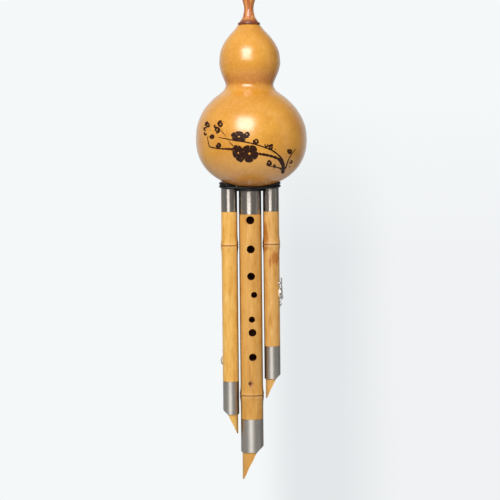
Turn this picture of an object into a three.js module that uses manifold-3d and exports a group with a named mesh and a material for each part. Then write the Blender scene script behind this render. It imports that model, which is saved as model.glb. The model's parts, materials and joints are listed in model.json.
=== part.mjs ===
// Hulusi: a gourd wind chamber that feeds one fingered bamboo pipe and two drone pipes
// Millimetres, +Z up, the front finger holes face -Y
// The origin is the centre of the mouthpiece's tip, and the instrument hangs below it

import * as THREE from 'three';
import { mergeVertices } from 'three/addons/utils/BufferGeometryUtils.js';
import Module from 'manifold-3d';

const wasm = await Module();
wasm.setup();

// Fits and cutters
const fitGap = 0.3;
const closeGap = 0.1;
const overrun = 2;
const weldDistance = 0.001;

// Gourd: heights are measured up from its base, which is also where the pipes begin
const gourd = {
  bellyHeight: 43.6,
  bellyRadius: 49.9,
  waistHeight: 91.8,
  waistRadius: 21.5,
  headHeight: 112.9,
  headRadius: 27.45,
  topHeight: 145.3,
  topRadius: 9.9,
  wall: 4.5,
  bellyLean: 1.75,
  waistLean: 0.6,
  headLean: 1,
  topLean: 0.6,
  waxDepth: 8,
};

// Outline between the named sizes: share of the height, share of the change in radius
const baseFullnessShare = 0.445;
const bellyToWaistShares = [
  [0.18, 0.025], [0.32, 0.088], [0.47, 0.2], [0.62, 0.37], [0.77, 0.615], [0.84, 0.77], [0.915, 0.924], [1, 1],
];
const waistToHeadShares = [[0.14, 0.077], [0.31, 0.33], [0.485, 0.6], [0.66, 0.825], [0.83, 0.955], [1, 1]];
const headToTopShares = [
  [0.22, 0.041], [0.33, 0.1], [0.44, 0.19], [0.55, 0.305], [0.66, 0.453], [0.77, 0.632], [0.88, 0.828], [1, 1],
];

// Mouthpiece
const mouthpiece = {
  height: 35,
  flangeRadius: 10,
  waistRadius: 4.25,
  bulbRadius: 6.8,
  tipRadius: 3.6,
  boreRadius: 2,
  tenonRadius: 6,
  tenonLength: 12,
};
const flangeEdgeShare = 0.05;
const flangeToWaistShares = [
  [0.052, 0.25], [0.084, 0.344], [0.134, 0.541], [0.2, 0.77], [0.266, 0.877], [0.331, 0.972], [0.397, 1],
];
const waistToBulbShares = [[0.463, 0.059], [0.529, 0.241], [0.594, 0.483], [0.66, 0.759], [0.769, 1]];
const bulbToTipShares = [[0.869, 0.09], [0.954, 0.47], [1, 1]];

// Pipes: depths are measured down from the gourd's base
const pipeSpacing = 18.8;
const ferruleWall = 0.8;
const seatRise = 7;
const droneRadius = 6.95;
const melodyRadius = 9.85;
const ridge = { width: 2.6, bulge: 0.9, groove: 0.35 };
const melodyPipe = {
  name: 'melody',
  x: 0,
  outerSide: 1,
  radius: melodyRadius,
  bore: 6.5,
  length: 263,
  upperFerrule: 23.9,
  lowerFerrule: 30,
  nibLength: 30,
  ridgeDepth: 187.3,
  reedRise: 50,
};
const leftDrone = {
  name: 'left_drone',
  x: -pipeSpacing,
  outerSide: -1,
  radius: droneRadius,
  bore: 4.5,
  length: 221.7,
  upperFerrule: 21.5,
  lowerFerrule: 29.9,
  nibLength: 21.4,
  ridgeDepth: 52.3,
  reedRise: 43,
};
const rightDrone = {
  name: 'right_drone',
  x: pipeSpacing,
  outerSide: 1,
  radius: droneRadius,
  bore: 4.5,
  length: 189.8,
  upperFerrule: 21.5,
  lowerFerrule: 29.5,
  nibLength: 21.4,
  ridgeDepth: 51.4,
  reedRise: 38,
};
const pipes = [melodyPipe, leftDrone, rightDrone];

// Quill cut: share of the way across the pipe from its outer side, share of the nib's length
const nibShares = [[0, 0], [0.31, 0.178], [0.53, 0.45], [0.685, 0.63], [0.785, 0.785], [0.87, 0.907], [0.94, 1]];
const ferruleBelowCutShare = 0.178;

// Finger holes: share of the melody pipe's length, share of its radius across, share of its diameter
const frontHoleShares = [
  [0.1103, 0, 0.365], [0.2091, 0.02, 0.355], [0.3015, 0.03, 0.345], [0.3646, 0.284, 0.274],
  [0.449, 0.061, 0.279], [0.4939, 0.1, 0.345], [0.578, 0.11, 0.34],
];
const backHoleShares = [[0.16, 0, 0.33], [0.41, 0, 0.3]];

// Reeds: a tube, a plate with a free tongue over its window, and a stopper
const reedTubeWall = 1.5;
const reedTubeDepth = 12;
const reedFlatDepth = 0.9;
const reedWindow = { length: 14, width: 2.4, below: 5 };
const reedPlate = { length: 20, thickness: 0.35, slit: 0.25, tipDrop: 1 };
const reedStopper = { depth: 3.5, head: 2 };

// Cork plug that closes each drone below its key
const endPlugLength = 10;

// Drone keys
const keyPlaces = [
  { name: 'left_key', pipe: leftDrone, aboveFerrule: 18, azimuth: 122, frontSide: 1 },
  { name: 'right_key', pipe: rightDrone, aboveFerrule: 47.7, azimuth: -12, frontSide: -1 },
];
const key = {
  seatDepth: 0.7,
  seatHeight: 10,
  holeRadius: 2.3,
  padRadius: 4.7,
  padThickness: 1.6,
  cupWall: 0.4,
  cupLip: 0.4,
  cupBack: 0.8,
  cupDome: 0.6,
  pivotOut: 1.3,
  pivotAbove: 9.2,
  pinRadius: 0.5,
  pinOverhang: 0.1,
  hubRadius: 1,
  hubLength: 2.8,
  armWidth: 2.6,
  armThickness: 0.8,
  touchLength: 4.8,
  touchWidth: 4.6,
  touchThickness: 0.7,
  postHeadRadius: 0.95,
  postNeckRadius: 0.75,
  postCollarRadius: 1,
  postCollar: 0.3,
  studRadius: 0.6,
  studDepth: 1.7,
  springWidth: 2.2,
  springThickness: 0.3,
  springFoot: 4.2,
  screwHeadRadius: 1.3,
  screwHead: 1.1,
  screwSlot: 0.4,
  screwBelow: 9.9,
};
const cupCrownShare = 0.33;
const postHeadSteps = 6;
// Spring's side outline: share of the rise from the pipe to the cup, share of the way to the tip
const springShares = [[0, 0], [0.12, 0.15], [0.85, 0.5], [1, 0.75], [1, 1]];
const springReachShare = 0.5;

// Binding cord
const binding = {
  diameter: 1.6,
  lowLevel: -0.45,
  secondLevel: 1.6,
  highLevel: 3.4,
  tailLevel: 1.7,
  melodyLevel: -2.5,
  over: 0.3,
  leftStep: [290, 326],
  rightStep: [222, 258],
  stepsPerTurn: 24,
  sides: 6,
};

// Facets
const facets = { gourd: 32, pipe: 24, small: 16, fine: 10, base: 7 };

// Finishes seen on the real object
const finishes = {
  gourd: new THREE.MeshStandardMaterial({ color: 0xdc9a3e, roughness: 0.3 }),
  rosewood: new THREE.MeshStandardMaterial({ color: 0x7a3412, roughness: 0.3 }),
  bamboo: new THREE.MeshStandardMaterial({ color: 0xe0a357, roughness: 0.45 }),
  polishedSteel: new THREE.MeshStandardMaterial({ color: 0x8b8884, roughness: 0.15, metalness: 1 }),
  satinSteel: new THREE.MeshStandardMaterial({ color: 0xa8a5a0, roughness: 0.35, metalness: 1 }),
  keySteel: new THREE.MeshStandardMaterial({ color: 0xb4b2ae, roughness: 0.25, metalness: 1 }),
  brass: new THREE.MeshStandardMaterial({ color: 0xc8a04a, roughness: 0.3, metalness: 1 }),
  cork: new THREE.MeshStandardMaterial({ color: 0xb98a5a, roughness: 0.9 }),
  wax: new THREE.MeshStandardMaterial({ color: 0x8a5a22, roughness: 0.6 }),
  leather: new THREE.MeshStandardMaterial({ color: 0xf0dcb8, roughness: 0.8 }),
  cord: new THREE.MeshStandardMaterial({ color: 0x131212, roughness: 0.7 }),
};

// Geometry helpers

// Turns a profile of [radius, height] points round the Z axis
function turned(profile, sides) {
  const points = profile.map(([radius, height]) => new THREE.Vector2(radius, height));
  return new THREE.LatheGeometry(points, sides).rotateX(Math.PI / 2);
}

// Solid round bar along Z
function bar(radius, low, high, sides = facets.fine) {
  return turned([[0, low], [radius, low], [radius, high], [0, high]], sides);
}

// Tube along Z
function ring(inner, outer, low, high, sides = facets.pipe) {
  return turned([[inner, low], [outer, low], [outer, high], [inner, high], [inner, low]], sides);
}

// Box between two corners
function block(low, high) {
  const size = high.map((value, axis) => value - low[axis]);
  const centre = high.map((value, axis) => (value + low[axis]) / 2);
  return new THREE.BoxGeometry(...size).translate(...centre);
}

// Outline of [x, z] points pushed along Y, centred on the XZ plane
function pushed(outline, width) {
  const shape = new THREE.Shape(outline.map(([x, z]) => new THREE.Vector2(x, z)));
  const geometry = new THREE.ExtrudeGeometry(shape, { depth: width, bevelEnabled: false });
  return geometry.rotateX(Math.PI / 2).translate(0, width / 2, 0);
}

// Side outline of a strip of even thickness along [x, z] points
function stripOutline(route, thickness) {
  const left = [];
  const right = [];
  route.forEach(([x, z], index) => {
    const before = route[Math.max(index - 1, 0)];
    const after = route[Math.min(index + 1, route.length - 1)];
    const run = Math.hypot(after[0] - before[0], after[1] - before[1]);
    const across = [(before[1] - after[1]) / run, (after[0] - before[0]) / run];
    left.push([x + across[0] * thickness / 2, z + across[1] * thickness / 2]);
    right.unshift([x - across[0] * thickness / 2, z - across[1] * thickness / 2]);
  });
  return [...left, ...right];
}

// Closed solid of a geometry, with its shared corners joined
function solidOf(geometry) {
  const bare = geometry.clone();
  bare.deleteAttribute('normal');
  bare.deleteAttribute('uv');
  const merged = mergeVertices(bare, weldDistance);
  const corners = merged.index.array;
  const kept = [];
  for (let i = 0; i < corners.length; i += 3) {
    const [a, b, c] = [corners[i], corners[i + 1], corners[i + 2]];
    if (a !== b && b !== c && c !== a) kept.push(a, b, c);
  }
  return new wasm.Manifold(new wasm.Mesh({
    numProp: 3,
    vertProperties: new Float32Array(merged.attributes.position.array),
    triVerts: new Uint32Array(kept),
  }));
}

// Geometry of a closed solid
function geometryOf(solid) {
  const mesh = solid.getMesh();
  const geometry = new THREE.BufferGeometry();
  geometry.setAttribute('position', new THREE.BufferAttribute(new Float32Array(mesh.vertProperties), 3));
  geometry.setIndex(new THREE.BufferAttribute(new Uint32Array(mesh.triVerts), 1));
  geometry.computeVertexNormals();
  return geometry;
}

// Takes the cutters away from a geometry
function cut(geometry, ...cutters) {
  return geometryOf(cutters.reduce((rest, cutter) => rest.subtract(solidOf(cutter)), solidOf(geometry)));
}

// Joins geometries into one
function join(geometry, ...others) {
  return geometryOf(others.reduce((whole, other) => whole.add(solidOf(other)), solidOf(geometry)));
}

// Named mesh in one of the finishes
function piece(name, geometry, finish) {
  const mesh = new THREE.Mesh(geometry, finish);
  mesh.name = name;
  return mesh;
}

// Outline points from shares between two [height, radius] levels
function stretch(shares, from, to) {
  return shares.map(([up, change]) => [
    from[1] + change * (to[1] - from[1]),
    from[0] + up * (to[0] - from[0]),
  ]);
}

// Gourd

// Outer outline of the gourd as [radius, height] points, from the axis at its base to the cut top
function gourdOutline() {
  const points = [];
  for (let i = 0; i < facets.base; i += 1) {
    const turn = (i / facets.base) * (Math.PI / 2);
    const drop = Math.cos(turn) ** (2 * baseFullnessShare);
    points.push([gourd.bellyRadius * Math.sin(turn), gourd.bellyHeight * (1 - drop)]);
  }
  const belly = [gourd.bellyHeight, gourd.bellyRadius];
  const waist = [gourd.waistHeight, gourd.waistRadius];
  const head = [gourd.headHeight, gourd.headRadius];
  const top = [gourd.topHeight, gourd.topRadius];
  return [
    ...points,
    [gourd.bellyRadius, gourd.bellyHeight],
    ...stretch(bellyToWaistShares, belly, waist),
    ...stretch(waistToHeadShares, waist, head),
    ...stretch(headToTopShares, head, top),
  ];
}

// Outline moved inwards by a wall, kept outside a bore that runs up the axis
function insetOutline(outline, wall, bore) {
  const inner = outline.map(([radius, height], index) => {
    const before = outline[Math.max(index - 1, 0)];
    const after = outline[Math.min(index + 1, outline.length - 1)];
    const run = Math.hypot(after[0] - before[0], after[1] - before[1]);
    const inwards = [(before[1] - after[1]) / run, (after[0] - before[0]) / run];
    return index === 0 ? [0, height + wall] : [radius + inwards[0] * wall, height + inwards[1] * wall];
  });
  const lastLow = gourd.topHeight - gourd.wall;
  return inner.filter(([radius, height], index) => {
    return index % 2 === 0 && (index < facets.base || (radius > bore && height < lastLow));
  });
}

// How far the gourd's axis leans to +X at a height
function leanAt(height) {
  const levels = [
    [gourd.bellyHeight, gourd.bellyLean],
    [gourd.waistHeight, gourd.waistLean],
    [gourd.headHeight, gourd.headLean],
    [gourd.topHeight, gourd.topLean],
  ];
  if (height <= levels[0][0]) return levels[0][1];
  const upper = levels.findIndex((level) => level[0] >= height);
  if (upper < 0) return gourd.topLean;
  const [low, high] = [levels[upper - 1], levels[upper]];
  const way = THREE.MathUtils.smoothstep(height, low[0], high[0]);
  return low[1] + way * (high[1] - low[1]);
}

// Leans a turned gourd form as it grew
function grown(geometry) {
  const place = geometry.attributes.position;
  for (let i = 0; i < place.count; i += 1) place.setX(i, place.getX(i) + leanAt(place.getZ(i)));
  return geometry;
}

const outline = gourdOutline();
const tenonHole = mouthpiece.tenonRadius + fitGap;
const cavityOutline = insetOutline(outline, gourd.wall, tenonHole);

// Whole outer form of the gourd, lowered by the fit so that pipe tops can be cut to it
function gourdForm() {
  return grown(turned([...outline, [0, gourd.topHeight]], facets.gourd)).translate(0, 0, -fitGap);
}

// Outer radius of a pipe's reed tube, which fits the pipe's bore
function reedTubeRadius(pipe) {
  return pipe.bore - fitGap;
}

// Hollow shell with a hole for the mouthpiece and one for each reed tube
function gourdShell() {
  const profile = [...outline, [tenonHole, gourd.topHeight], ...[...cavityOutline].reverse()];
  const shell = grown(turned(profile, facets.gourd));
  const holes = pipes.map((pipe) => {
    const hole = bar(reedTubeRadius(pipe) + fitGap, -overrun, gourd.bellyHeight, facets.small);
    return hole.translate(pipe.x, 0, 0);
  });
  return cut(shell, ...holes);
}

// Pool of wax in the gourd's base, which seals the reed tubes
function waxBed() {
  const cavity = grown(turned([...cavityOutline, [0, gourd.topHeight]], facets.gourd)).translate(0, 0, fitGap);
  const top = gourd.wall + gourd.waxDepth;
  const pool = bar(gourd.bellyRadius, 0, top, facets.gourd).translate(gourd.bellyLean, 0, 0);
  const holes = pipes.map((pipe) => {
    const hole = bar(reedTubeRadius(pipe) + fitGap, -overrun, top + overrun, facets.small);
    return solidOf(hole.translate(pipe.x, 0, 0));
  });
  const bed = solidOf(cavity).intersect(solidOf(pool));
  return geometryOf(holes.reduce((rest, hole) => rest.subtract(hole), bed));
}

// Mouthpiece

// Turned mouthpiece with its bore and the tenon that stands in the gourd; zero is under the flange
function mouthpieceGeometry() {
  const { height, flangeRadius, waistRadius, bulbRadius, tipRadius, boreRadius } = mouthpiece;
  const edge = height * flangeEdgeShare;
  const scaled = (shares, from, to) => stretch(shares, [0, from], [height, to]);
  const profile = [
    [boreRadius, -mouthpiece.tenonLength],
    [mouthpiece.tenonRadius, -mouthpiece.tenonLength],
    [mouthpiece.tenonRadius, 0],
    [flangeRadius, 0],
    [flangeRadius, edge],
    ...scaled(flangeToWaistShares, flangeRadius, waistRadius),
    ...scaled(waistToBulbShares, waistRadius, bulbRadius),
    ...scaled(bulbToTipShares, bulbRadius, tipRadius),
    [boreRadius, height],
    [boreRadius, -mouthpiece.tenonLength],
  ];
  return turned(profile, facets.small);
}

// Pipes

// Radius of the bamboo where a ferrule sits over it
function rebateRadius(pipe) {
  return pipe.radius - ferruleWall - fitGap;
}

// Depth at which a pipe's quill cut starts
function cutDepth(pipe) {
  return pipe.length - pipe.nibLength;
}

// Depth of a lower ferrule's bottom edge
function ferruleBottom(pipe) {
  return cutDepth(pipe) + pipe.nibLength * ferruleBelowCutShare;
}

// Depth of a lower ferrule's top edge
function ferruleTop(pipe) {
  return ferruleBottom(pipe) - pipe.lowerFerrule;
}

// Outline of the ring that a bamboo node stands out in
function ridgeOutline(pipe) {
  return [
    [pipe.radius, -pipe.ridgeDepth - ridge.width * 2],
    [pipe.radius + ridge.bulge, -pipe.ridgeDepth - ridge.width / 2],
    [pipe.radius - ridge.groove, -pipe.ridgeDepth],
    [pipe.radius + ridge.bulge, -pipe.ridgeDepth + ridge.width / 2],
    [pipe.radius, -pipe.ridgeDepth + ridge.width * 2],
  ];
}

// Cutter for a pipe's quill end, open towards its outer side
function nibCutter(pipe) {
  const start = -cutDepth(pipe);
  const across = pipe.radius + rebateRadius(pipe);
  const curve = nibShares.map(([over, down]) => [
    pipe.outerSide * (pipe.radius - over * across),
    start - down * pipe.nibLength,
  ]);
  const beyond = pipe.outerSide * (pipe.radius + overrun);
  const below = -pipe.length - overrun;
  const last = curve[curve.length - 1];
  const outlinePoints = [[beyond, start], ...curve, [last[0], below], [beyond, below]];
  return pushed(outlinePoints, 2 * (pipe.radius + overrun));
}

// Round cutter through the front or back wall of a pipe
function wallHole(pipe, [down, across, width], side) {
  const radius = width * pipe.radius;
  const hole = bar(radius, 0, pipe.radius + overrun, facets.small).rotateX(side * Math.PI / 2);
  return hole.translate(across * pipe.radius, 0, -down * pipe.length);
}

// Bamboo pipe with its node, rebates, quill end and holes, on its own axis
function bambooPipe(pipe, cutters) {
  const rebate = rebateRadius(pipe);
  const profile = [
    [pipe.bore, -pipe.length],
    [rebate, -pipe.length],
    [rebate, -ferruleTop(pipe)],
    [pipe.radius, -ferruleTop(pipe)],
    ...ridgeOutline(pipe),
    [pipe.radius, -pipe.upperFerrule],
    [rebate, -pipe.upperFerrule],
    [rebate, seatRise],
    [pipe.bore, seatRise],
    [pipe.bore, -pipe.length],
  ];
  const seat = gourdForm().translate(-pipe.x, 0, 0);
  return cut(turned(profile, facets.pipe), seat, nibCutter(pipe), ...cutters);
}

// Steel sleeve on the pipe's top, cut to the gourd
function upperFerrule(pipe) {
  const sleeve = ring(rebateRadius(pipe) + fitGap, pipe.radius, -pipe.upperFerrule + closeGap, seatRise);
  return cut(sleeve, gourdForm().translate(-pipe.x, 0, 0));
}

// Steel sleeve on the pipe's lower end, cut with the quill
function lowerFerrule(pipe) {
  const top = -ferruleTop(pipe) - closeGap;
  return cut(ring(rebateRadius(pipe) + fitGap, pipe.radius, -ferruleBottom(pipe), top), nibCutter(pipe));
}

// Reeds

// Inner radius of a reed tube
function reedBore(pipe) {
  return reedTubeRadius(pipe) - reedTubeWall;
}

// Height of the flat's lower end
function reedFlatLow(pipe) {
  return pipe.reedRise - reedStopper.depth - reedPlate.length - fitGap;
}

// Width of the flat on a reed tube
function reedFlatWidth(pipe) {
  const radius = reedTubeRadius(pipe);
  return 2 * Math.sqrt(radius ** 2 - (radius - reedFlatDepth) ** 2);
}

// Brass tube with a flat and a window for the reed
function reedTube(pipe) {
  const radius = reedTubeRadius(pipe);
  const tube = ring(reedBore(pipe), radius, -reedTubeDepth, pipe.reedRise, facets.small);
  const low = reedFlatLow(pipe);
  const flat = block(
    [-radius - overrun, -radius - overrun, low - fitGap],
    [radius + overrun, -radius + reedFlatDepth, low + reedPlate.length + fitGap],
  );
  const windowLow = low + reedWindow.below;
  const slot = block(
    [-reedWindow.width / 2, -radius - overrun, windowLow],
    [reedWindow.width / 2, 0, windowLow + reedWindow.length],
  );
  return cut(tube, flat, slot);
}

// Thin plate whose V-shaped slit frees the tongue, on the tube's flat
function reedPlateGeometry(pipe) {
  const half = reedFlatWidth(pipe) / 2 - fitGap;
  const low = reedFlatLow(pipe);
  const shape = new THREE.Shape();
  shape.moveTo(-half, 0).lineTo(half, 0).lineTo(half, reedPlate.length).lineTo(-half, reedPlate.length).closePath();
  const foot = reedWindow.below;
  const tip = foot + reedWindow.length - reedPlate.slit;
  const wide = reedWindow.width / 2 - reedPlate.slit;
  const slit = new THREE.Path();
  slit.moveTo(-wide, foot).lineTo(0, tip).lineTo(wide, foot).lineTo(wide - reedPlate.slit, foot);
  slit.lineTo(0, tip - reedPlate.tipDrop).lineTo(-wide + reedPlate.slit, foot).closePath();
  shape.holes.push(slit);
  const plate = new THREE.ExtrudeGeometry(shape, { depth: reedPlate.thickness, bevelEnabled: false });
  const seat = -reedTubeRadius(pipe) + reedFlatDepth - closeGap;
  return plate.rotateX(Math.PI / 2).translate(0, seat, low);
}

// Stopper that closes the top of a reed tube
function reedStopperGeometry(pipe) {
  const plug = reedBore(pipe) - closeGap;
  const low = pipe.reedRise - reedStopper.depth;
  const seat = pipe.reedRise + closeGap;
  const head = seat + reedStopper.head;
  const outer = reedTubeRadius(pipe);
  return turned([[0, low], [plug, low], [plug, seat], [outer, seat], [outer, head], [0, head]], facets.small);
}

// Keys, drawn on the pipe's axis with +X pointing out through the pad

const seatFace = droneRadius - key.seatDepth;
const padFace = seatFace + fitGap;
const padBack = padFace + key.padThickness;
const cupInner = padBack + closeGap;
const cupOuter = cupInner + key.cupBack;
const pivotOut = droneRadius + key.pivotOut;
const postSpread = key.hubLength / 2 + closeGap + key.postHeadRadius;
const pinLength = 2 * (postSpread + key.postHeadRadius + key.pinOverhang);
const studEnd = Math.sqrt(droneRadius ** 2 - postSpread ** 2) - key.studDepth;
const springFace = droneRadius + fitGap + key.springThickness / 2;

// Depth of a key's pad below the gourd's base
function keyDepth(place) {
  return ferruleTop(place.pipe) - place.aboveFerrule;
}

// Turns a bar that stands on Z to point along +X
function alongX(geometry) {
  return geometry.rotateY(Math.PI / 2);
}

// Everything that a key needs cut out of its pipe
function keyCutters(place) {
  const reach = droneRadius + overrun;
  const seat = block([seatFace, -reach, -key.seatHeight / 2], [reach, reach, key.seatHeight / 2]);
  const hole = alongX(bar(key.holeRadius, 0, reach, facets.small));
  const studHole = key.studRadius + closeGap;
  const studs = [-1, 1].map((side) => {
    const bore = alongX(bar(studHole, studEnd - fitGap, reach));
    return bore.translate(0, side * postSpread, key.pivotAbove);
  });
  const screw = alongX(bar(studHole, droneRadius - key.studDepth - fitGap, reach)).translate(0, 0, -key.screwBelow);
  return [seat, hole, ...studs, screw].map((cutter) => {
    return cutter.rotateZ(THREE.MathUtils.degToRad(place.azimuth)).translate(0, 0, -keyDepth(place));
  });
}

// Turned post with a stud in the bamboo and a round head drilled for the pin
function keyPost(side) {
  const collarLow = droneRadius - key.postCollar / 2;
  const collarHigh = collarLow + key.postCollar;
  const headLow = pivotOut - key.postHeadRadius;
  const profile = [
    [0, studEnd],
    [key.studRadius, studEnd],
    [key.studRadius, collarLow],
    [key.postCollarRadius, collarLow],
    [key.postCollarRadius, collarHigh],
    [key.postNeckRadius, collarHigh],
    [key.postNeckRadius, headLow + key.postCollar / 2],
  ];
  for (let i = 2; i < postHeadSteps; i += 1) {
    const turn = (i / postHeadSteps) * Math.PI;
    profile.push([key.postHeadRadius * Math.sin(turn), pivotOut - key.postHeadRadius * Math.cos(turn)]);
  }
  profile.push([0, pivotOut + key.postHeadRadius]);
  const bore = bar(key.pinRadius + closeGap, -pinLength, pinLength).rotateX(Math.PI / 2);
  const post = alongX(turned(profile, facets.fine));
  return cut(post, bore.translate(pivotOut, 0, 0)).translate(0, side * postSpread, key.pivotAbove);
}

// Hinge pin across the two posts
function keyPin() {
  const pin = bar(key.pinRadius, -pinLength / 2, pinLength / 2).rotateX(Math.PI / 2);
  return pin.translate(pivotOut, 0, key.pivotAbove);
}

// Lever in one piece: pad cup, arm, hub on the pin, and touch
function keyLever() {
  const cupInnerRadius = key.padRadius + closeGap;
  const cupRadius = cupInnerRadius + key.cupWall;
  const cup = alongX(turned([
    [cupInnerRadius, padBack - key.cupLip],
    [cupRadius, padBack - key.cupLip],
    [cupRadius, cupOuter - key.cupBack / 2],
    [cupRadius - key.cupDome, cupOuter],
    [cupRadius * cupCrownShare, cupOuter + key.cupDome],
    [0, cupOuter + key.cupDome],
    [0, cupInner],
    [cupInnerRadius, cupInner],
    [cupInnerRadius, padBack - key.cupLip],
  ], facets.small));
  const hub = bar(key.hubRadius, -key.hubLength / 2, key.hubLength / 2).rotateX(Math.PI / 2);
  const arm = pushed(
    stripOutline([[cupOuter, 0], [cupOuter, cupRadius], [pivotOut, key.pivotAbove]], key.armThickness),
    key.armWidth,
  );
  const touchEnd = key.pivotAbove + key.touchLength;
  const touch = pushed(
    stripOutline([
      [pivotOut, key.pivotAbove],
      [pivotOut + key.hubRadius - key.touchThickness / 2, key.pivotAbove + key.hubRadius * 2],
      [pivotOut + key.hubRadius / 2, touchEnd],
    ], key.touchThickness),
    key.touchWidth,
  );
  const beside = key.touchWidth;
  const postClear = pivotOut - key.postHeadRadius - overrun;
  const waist = [-1, 1].map((side) => {
    const inner = side * (key.hubLength / 2 - closeGap);
    const outer = side * beside;
    const low = [postClear, Math.min(inner, outer), key.pivotAbove - overrun];
    const high = [pivotOut + overrun, Math.max(inner, outer), key.pivotAbove + key.postHeadRadius + fitGap];
    return block(low, high);
  });
  const bore = bar(key.pinRadius + closeGap, -pinLength, pinLength).rotateX(Math.PI / 2);
  const lever = join(cup, arm, hub.translate(pivotOut, 0, key.pivotAbove), touch);
  return cut(lever, ...waist, bore.translate(pivotOut, 0, key.pivotAbove));
}

// Leather pad in the cup
function keyPad() {
  return alongX(bar(key.padRadius, padFace, padBack, facets.small));
}

// Flat spring: screwed to the pipe below the cup, its tip bears on the cup's back
function keySpring() {
  const footLow = -key.screwBelow - key.springFoot / 2;
  const footHigh = -key.screwBelow + key.springFoot / 2;
  const crest = cupOuter + key.cupDome + fitGap;
  const tip = -key.padRadius * springReachShare;
  const curve = springShares.map(([out, up]) => [
    springFace + out * (crest - springFace),
    footHigh + up * (tip - footHigh),
  ]);
  const strip = pushed(stripOutline([[springFace, footLow], ...curve], key.springThickness), key.springWidth);
  const hole = alongX(bar(key.studRadius + closeGap, 0, crest)).translate(0, 0, -key.screwBelow);
  return cut(strip, hole);
}

// Slotted screw that holds the spring
function keyScrew() {
  const seat = springFace + key.springThickness / 2 + closeGap;
  const top = seat + key.screwHead;
  const end = droneRadius - key.studDepth;
  const body = alongX(turned([
    [0, end],
    [key.studRadius, end],
    [key.studRadius, seat],
    [key.screwHeadRadius, seat],
    [key.screwHeadRadius, top],
    [0, top],
  ], facets.fine));
  const slot = block(
    [top - key.screwSlot, -key.screwHeadRadius - overrun, -key.screwSlot / 2],
    [top + overrun, key.screwHeadRadius + overrun, key.screwSlot / 2],
  );
  return cut(body, slot).translate(0, 0, -key.screwBelow);
}

// Binding cord

// Points of an arc round a pipe, with its radius and height changing evenly from start to end
function wrap(pipe, [fromTurn, toTurn], [fromRadius, toRadius], [fromHeight, toHeight]) {
  const steps = Math.max(1, Math.round((Math.abs(toTurn - fromTurn) / 360) * binding.stepsPerTurn));
  const points = [];
  for (let i = 0; i < steps; i += 1) {
    const way = i / steps;
    const eased = (1 - Math.cos(way * Math.PI)) / 2;
    const turn = THREE.MathUtils.degToRad(fromTurn + way * (toTurn - fromTurn));
    const radius = fromRadius + way * (toRadius - fromRadius);
    const height = fromHeight + eased * (toHeight - fromHeight);
    points.push(new THREE.Vector3(pipe.x + radius * Math.cos(turn), radius * Math.sin(turn), height));
  }
  return points;
}

// Route: a loop round the left drone, the front run, a loop round the right drone, then the melody pipe
function bindingRoute() {
  const { lowLevel: low, secondLevel: second, highLevel: high, tailLevel: tail, melodyLevel } = binding;
  const [leftStart, leftEnd] = binding.leftStep;
  const [rightStart, rightEnd] = binding.rightStep;
  const onDrone = droneRadius + fitGap + binding.diameter / 2;
  const overDrone = onDrone + binding.over;
  const onMelody = melodyRadius + fitGap + binding.diameter / 2;
  const snug = [onDrone, onDrone];
  const over = [overDrone, overDrone];
  const main = [onMelody, onMelody];
  return [
    ...wrap(leftDrone, [90, 180], snug, [tail, high]),
    ...wrap(leftDrone, [180, 270], snug, [high, second]),
    ...wrap(leftDrone, [270, leftStart], snug, [second, second]),
    ...wrap(leftDrone, [leftStart, leftEnd], snug, [second, low]),
    ...wrap(leftDrone, [leftEnd, 450], snug, [low, low]),
    ...wrap(leftDrone, [90, 180], [onDrone, overDrone], [low, low]),
    ...wrap(leftDrone, [180, 262], over, [low, low]),
    ...wrap(melodyPipe, [262, 278], main, [low, low]),
    ...wrap(rightDrone, [278, 360], over, [low, low]),
    ...wrap(rightDrone, [0, 90], [overDrone, onDrone], [low, low]),
    ...wrap(rightDrone, [90, rightStart], snug, [low, low]),
    ...wrap(rightDrone, [rightStart, rightEnd], snug, [low, second]),
    ...wrap(rightDrone, [rightEnd, 270], snug, [second, second]),
    ...wrap(rightDrone, [270, 360], snug, [second, high]),
    ...wrap(rightDrone, [0, 90], snug, [high, tail]),
    ...wrap(melodyPipe, [82, 98], main, [low, low]),
    ...wrap(melodyPipe, [98, 180], main, [low, melodyLevel]),
    ...wrap(melodyPipe, [180, 450], main, [melodyLevel, melodyLevel]),
  ];
}

// Least distance between two stretches of the cord that aren't neighbours along it, less its diameter
function leastGap(points, apart) {
  let least = Infinity;
  for (let i = 0; i < points.length; i += 1) {
    for (let j = i + apart; j < points.length; j += 1) least = Math.min(least, points[i].distanceTo(points[j]));
  }
  return least - binding.diameter;
}

// One unbroken tube along the route
function bindingCord() {
  const curve = new THREE.CatmullRomCurve3(bindingRoute(), false, 'centripetal');
  const loopLength = 2 * Math.PI * (droneRadius + fitGap + binding.diameter / 2);
  const steps = Math.round((curve.getLength() / loopLength) * binding.stepsPerTurn);
  const measured = curve.getSpacedPoints(steps * 4);
  console.log('binding cord: length', curve.getLength().toFixed(1), 'mm, least gap to itself',
    leastGap(measured, binding.stepsPerTurn).toFixed(2), 'mm');
  const section = new THREE.Shape();
  for (let i = 0; i < binding.sides; i += 1) {
    const turn = (i / binding.sides) * 2 * Math.PI;
    const corner = [Math.cos(turn), Math.sin(turn)].map((part) => part * binding.diameter / 2);
    if (i === 0) section.moveTo(...corner);
    else section.lineTo(...corner);
  }
  section.closePath();
  return new THREE.ExtrudeGeometry(section, { steps, bevelEnabled: false, extrudePath: curve });
}

// Assembly

const instrument = new THREE.Group();
const flangeSeat = gourd.topHeight + fitGap;
instrument.position.set(-gourd.topLean, 0, -flangeSeat - mouthpiece.height);

instrument.add(piece('gourd_shell', gourdShell(), finishes.gourd));
instrument.add(piece('wax_bed', waxBed(), finishes.wax));
instrument.add(piece('binding_cord', bindingCord(), finishes.cord));

const mouthpieceMesh = piece('mouthpiece', mouthpieceGeometry(), finishes.rosewood);
mouthpieceMesh.position.set(gourd.topLean, 0, flangeSeat);
instrument.add(mouthpieceMesh);

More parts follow.
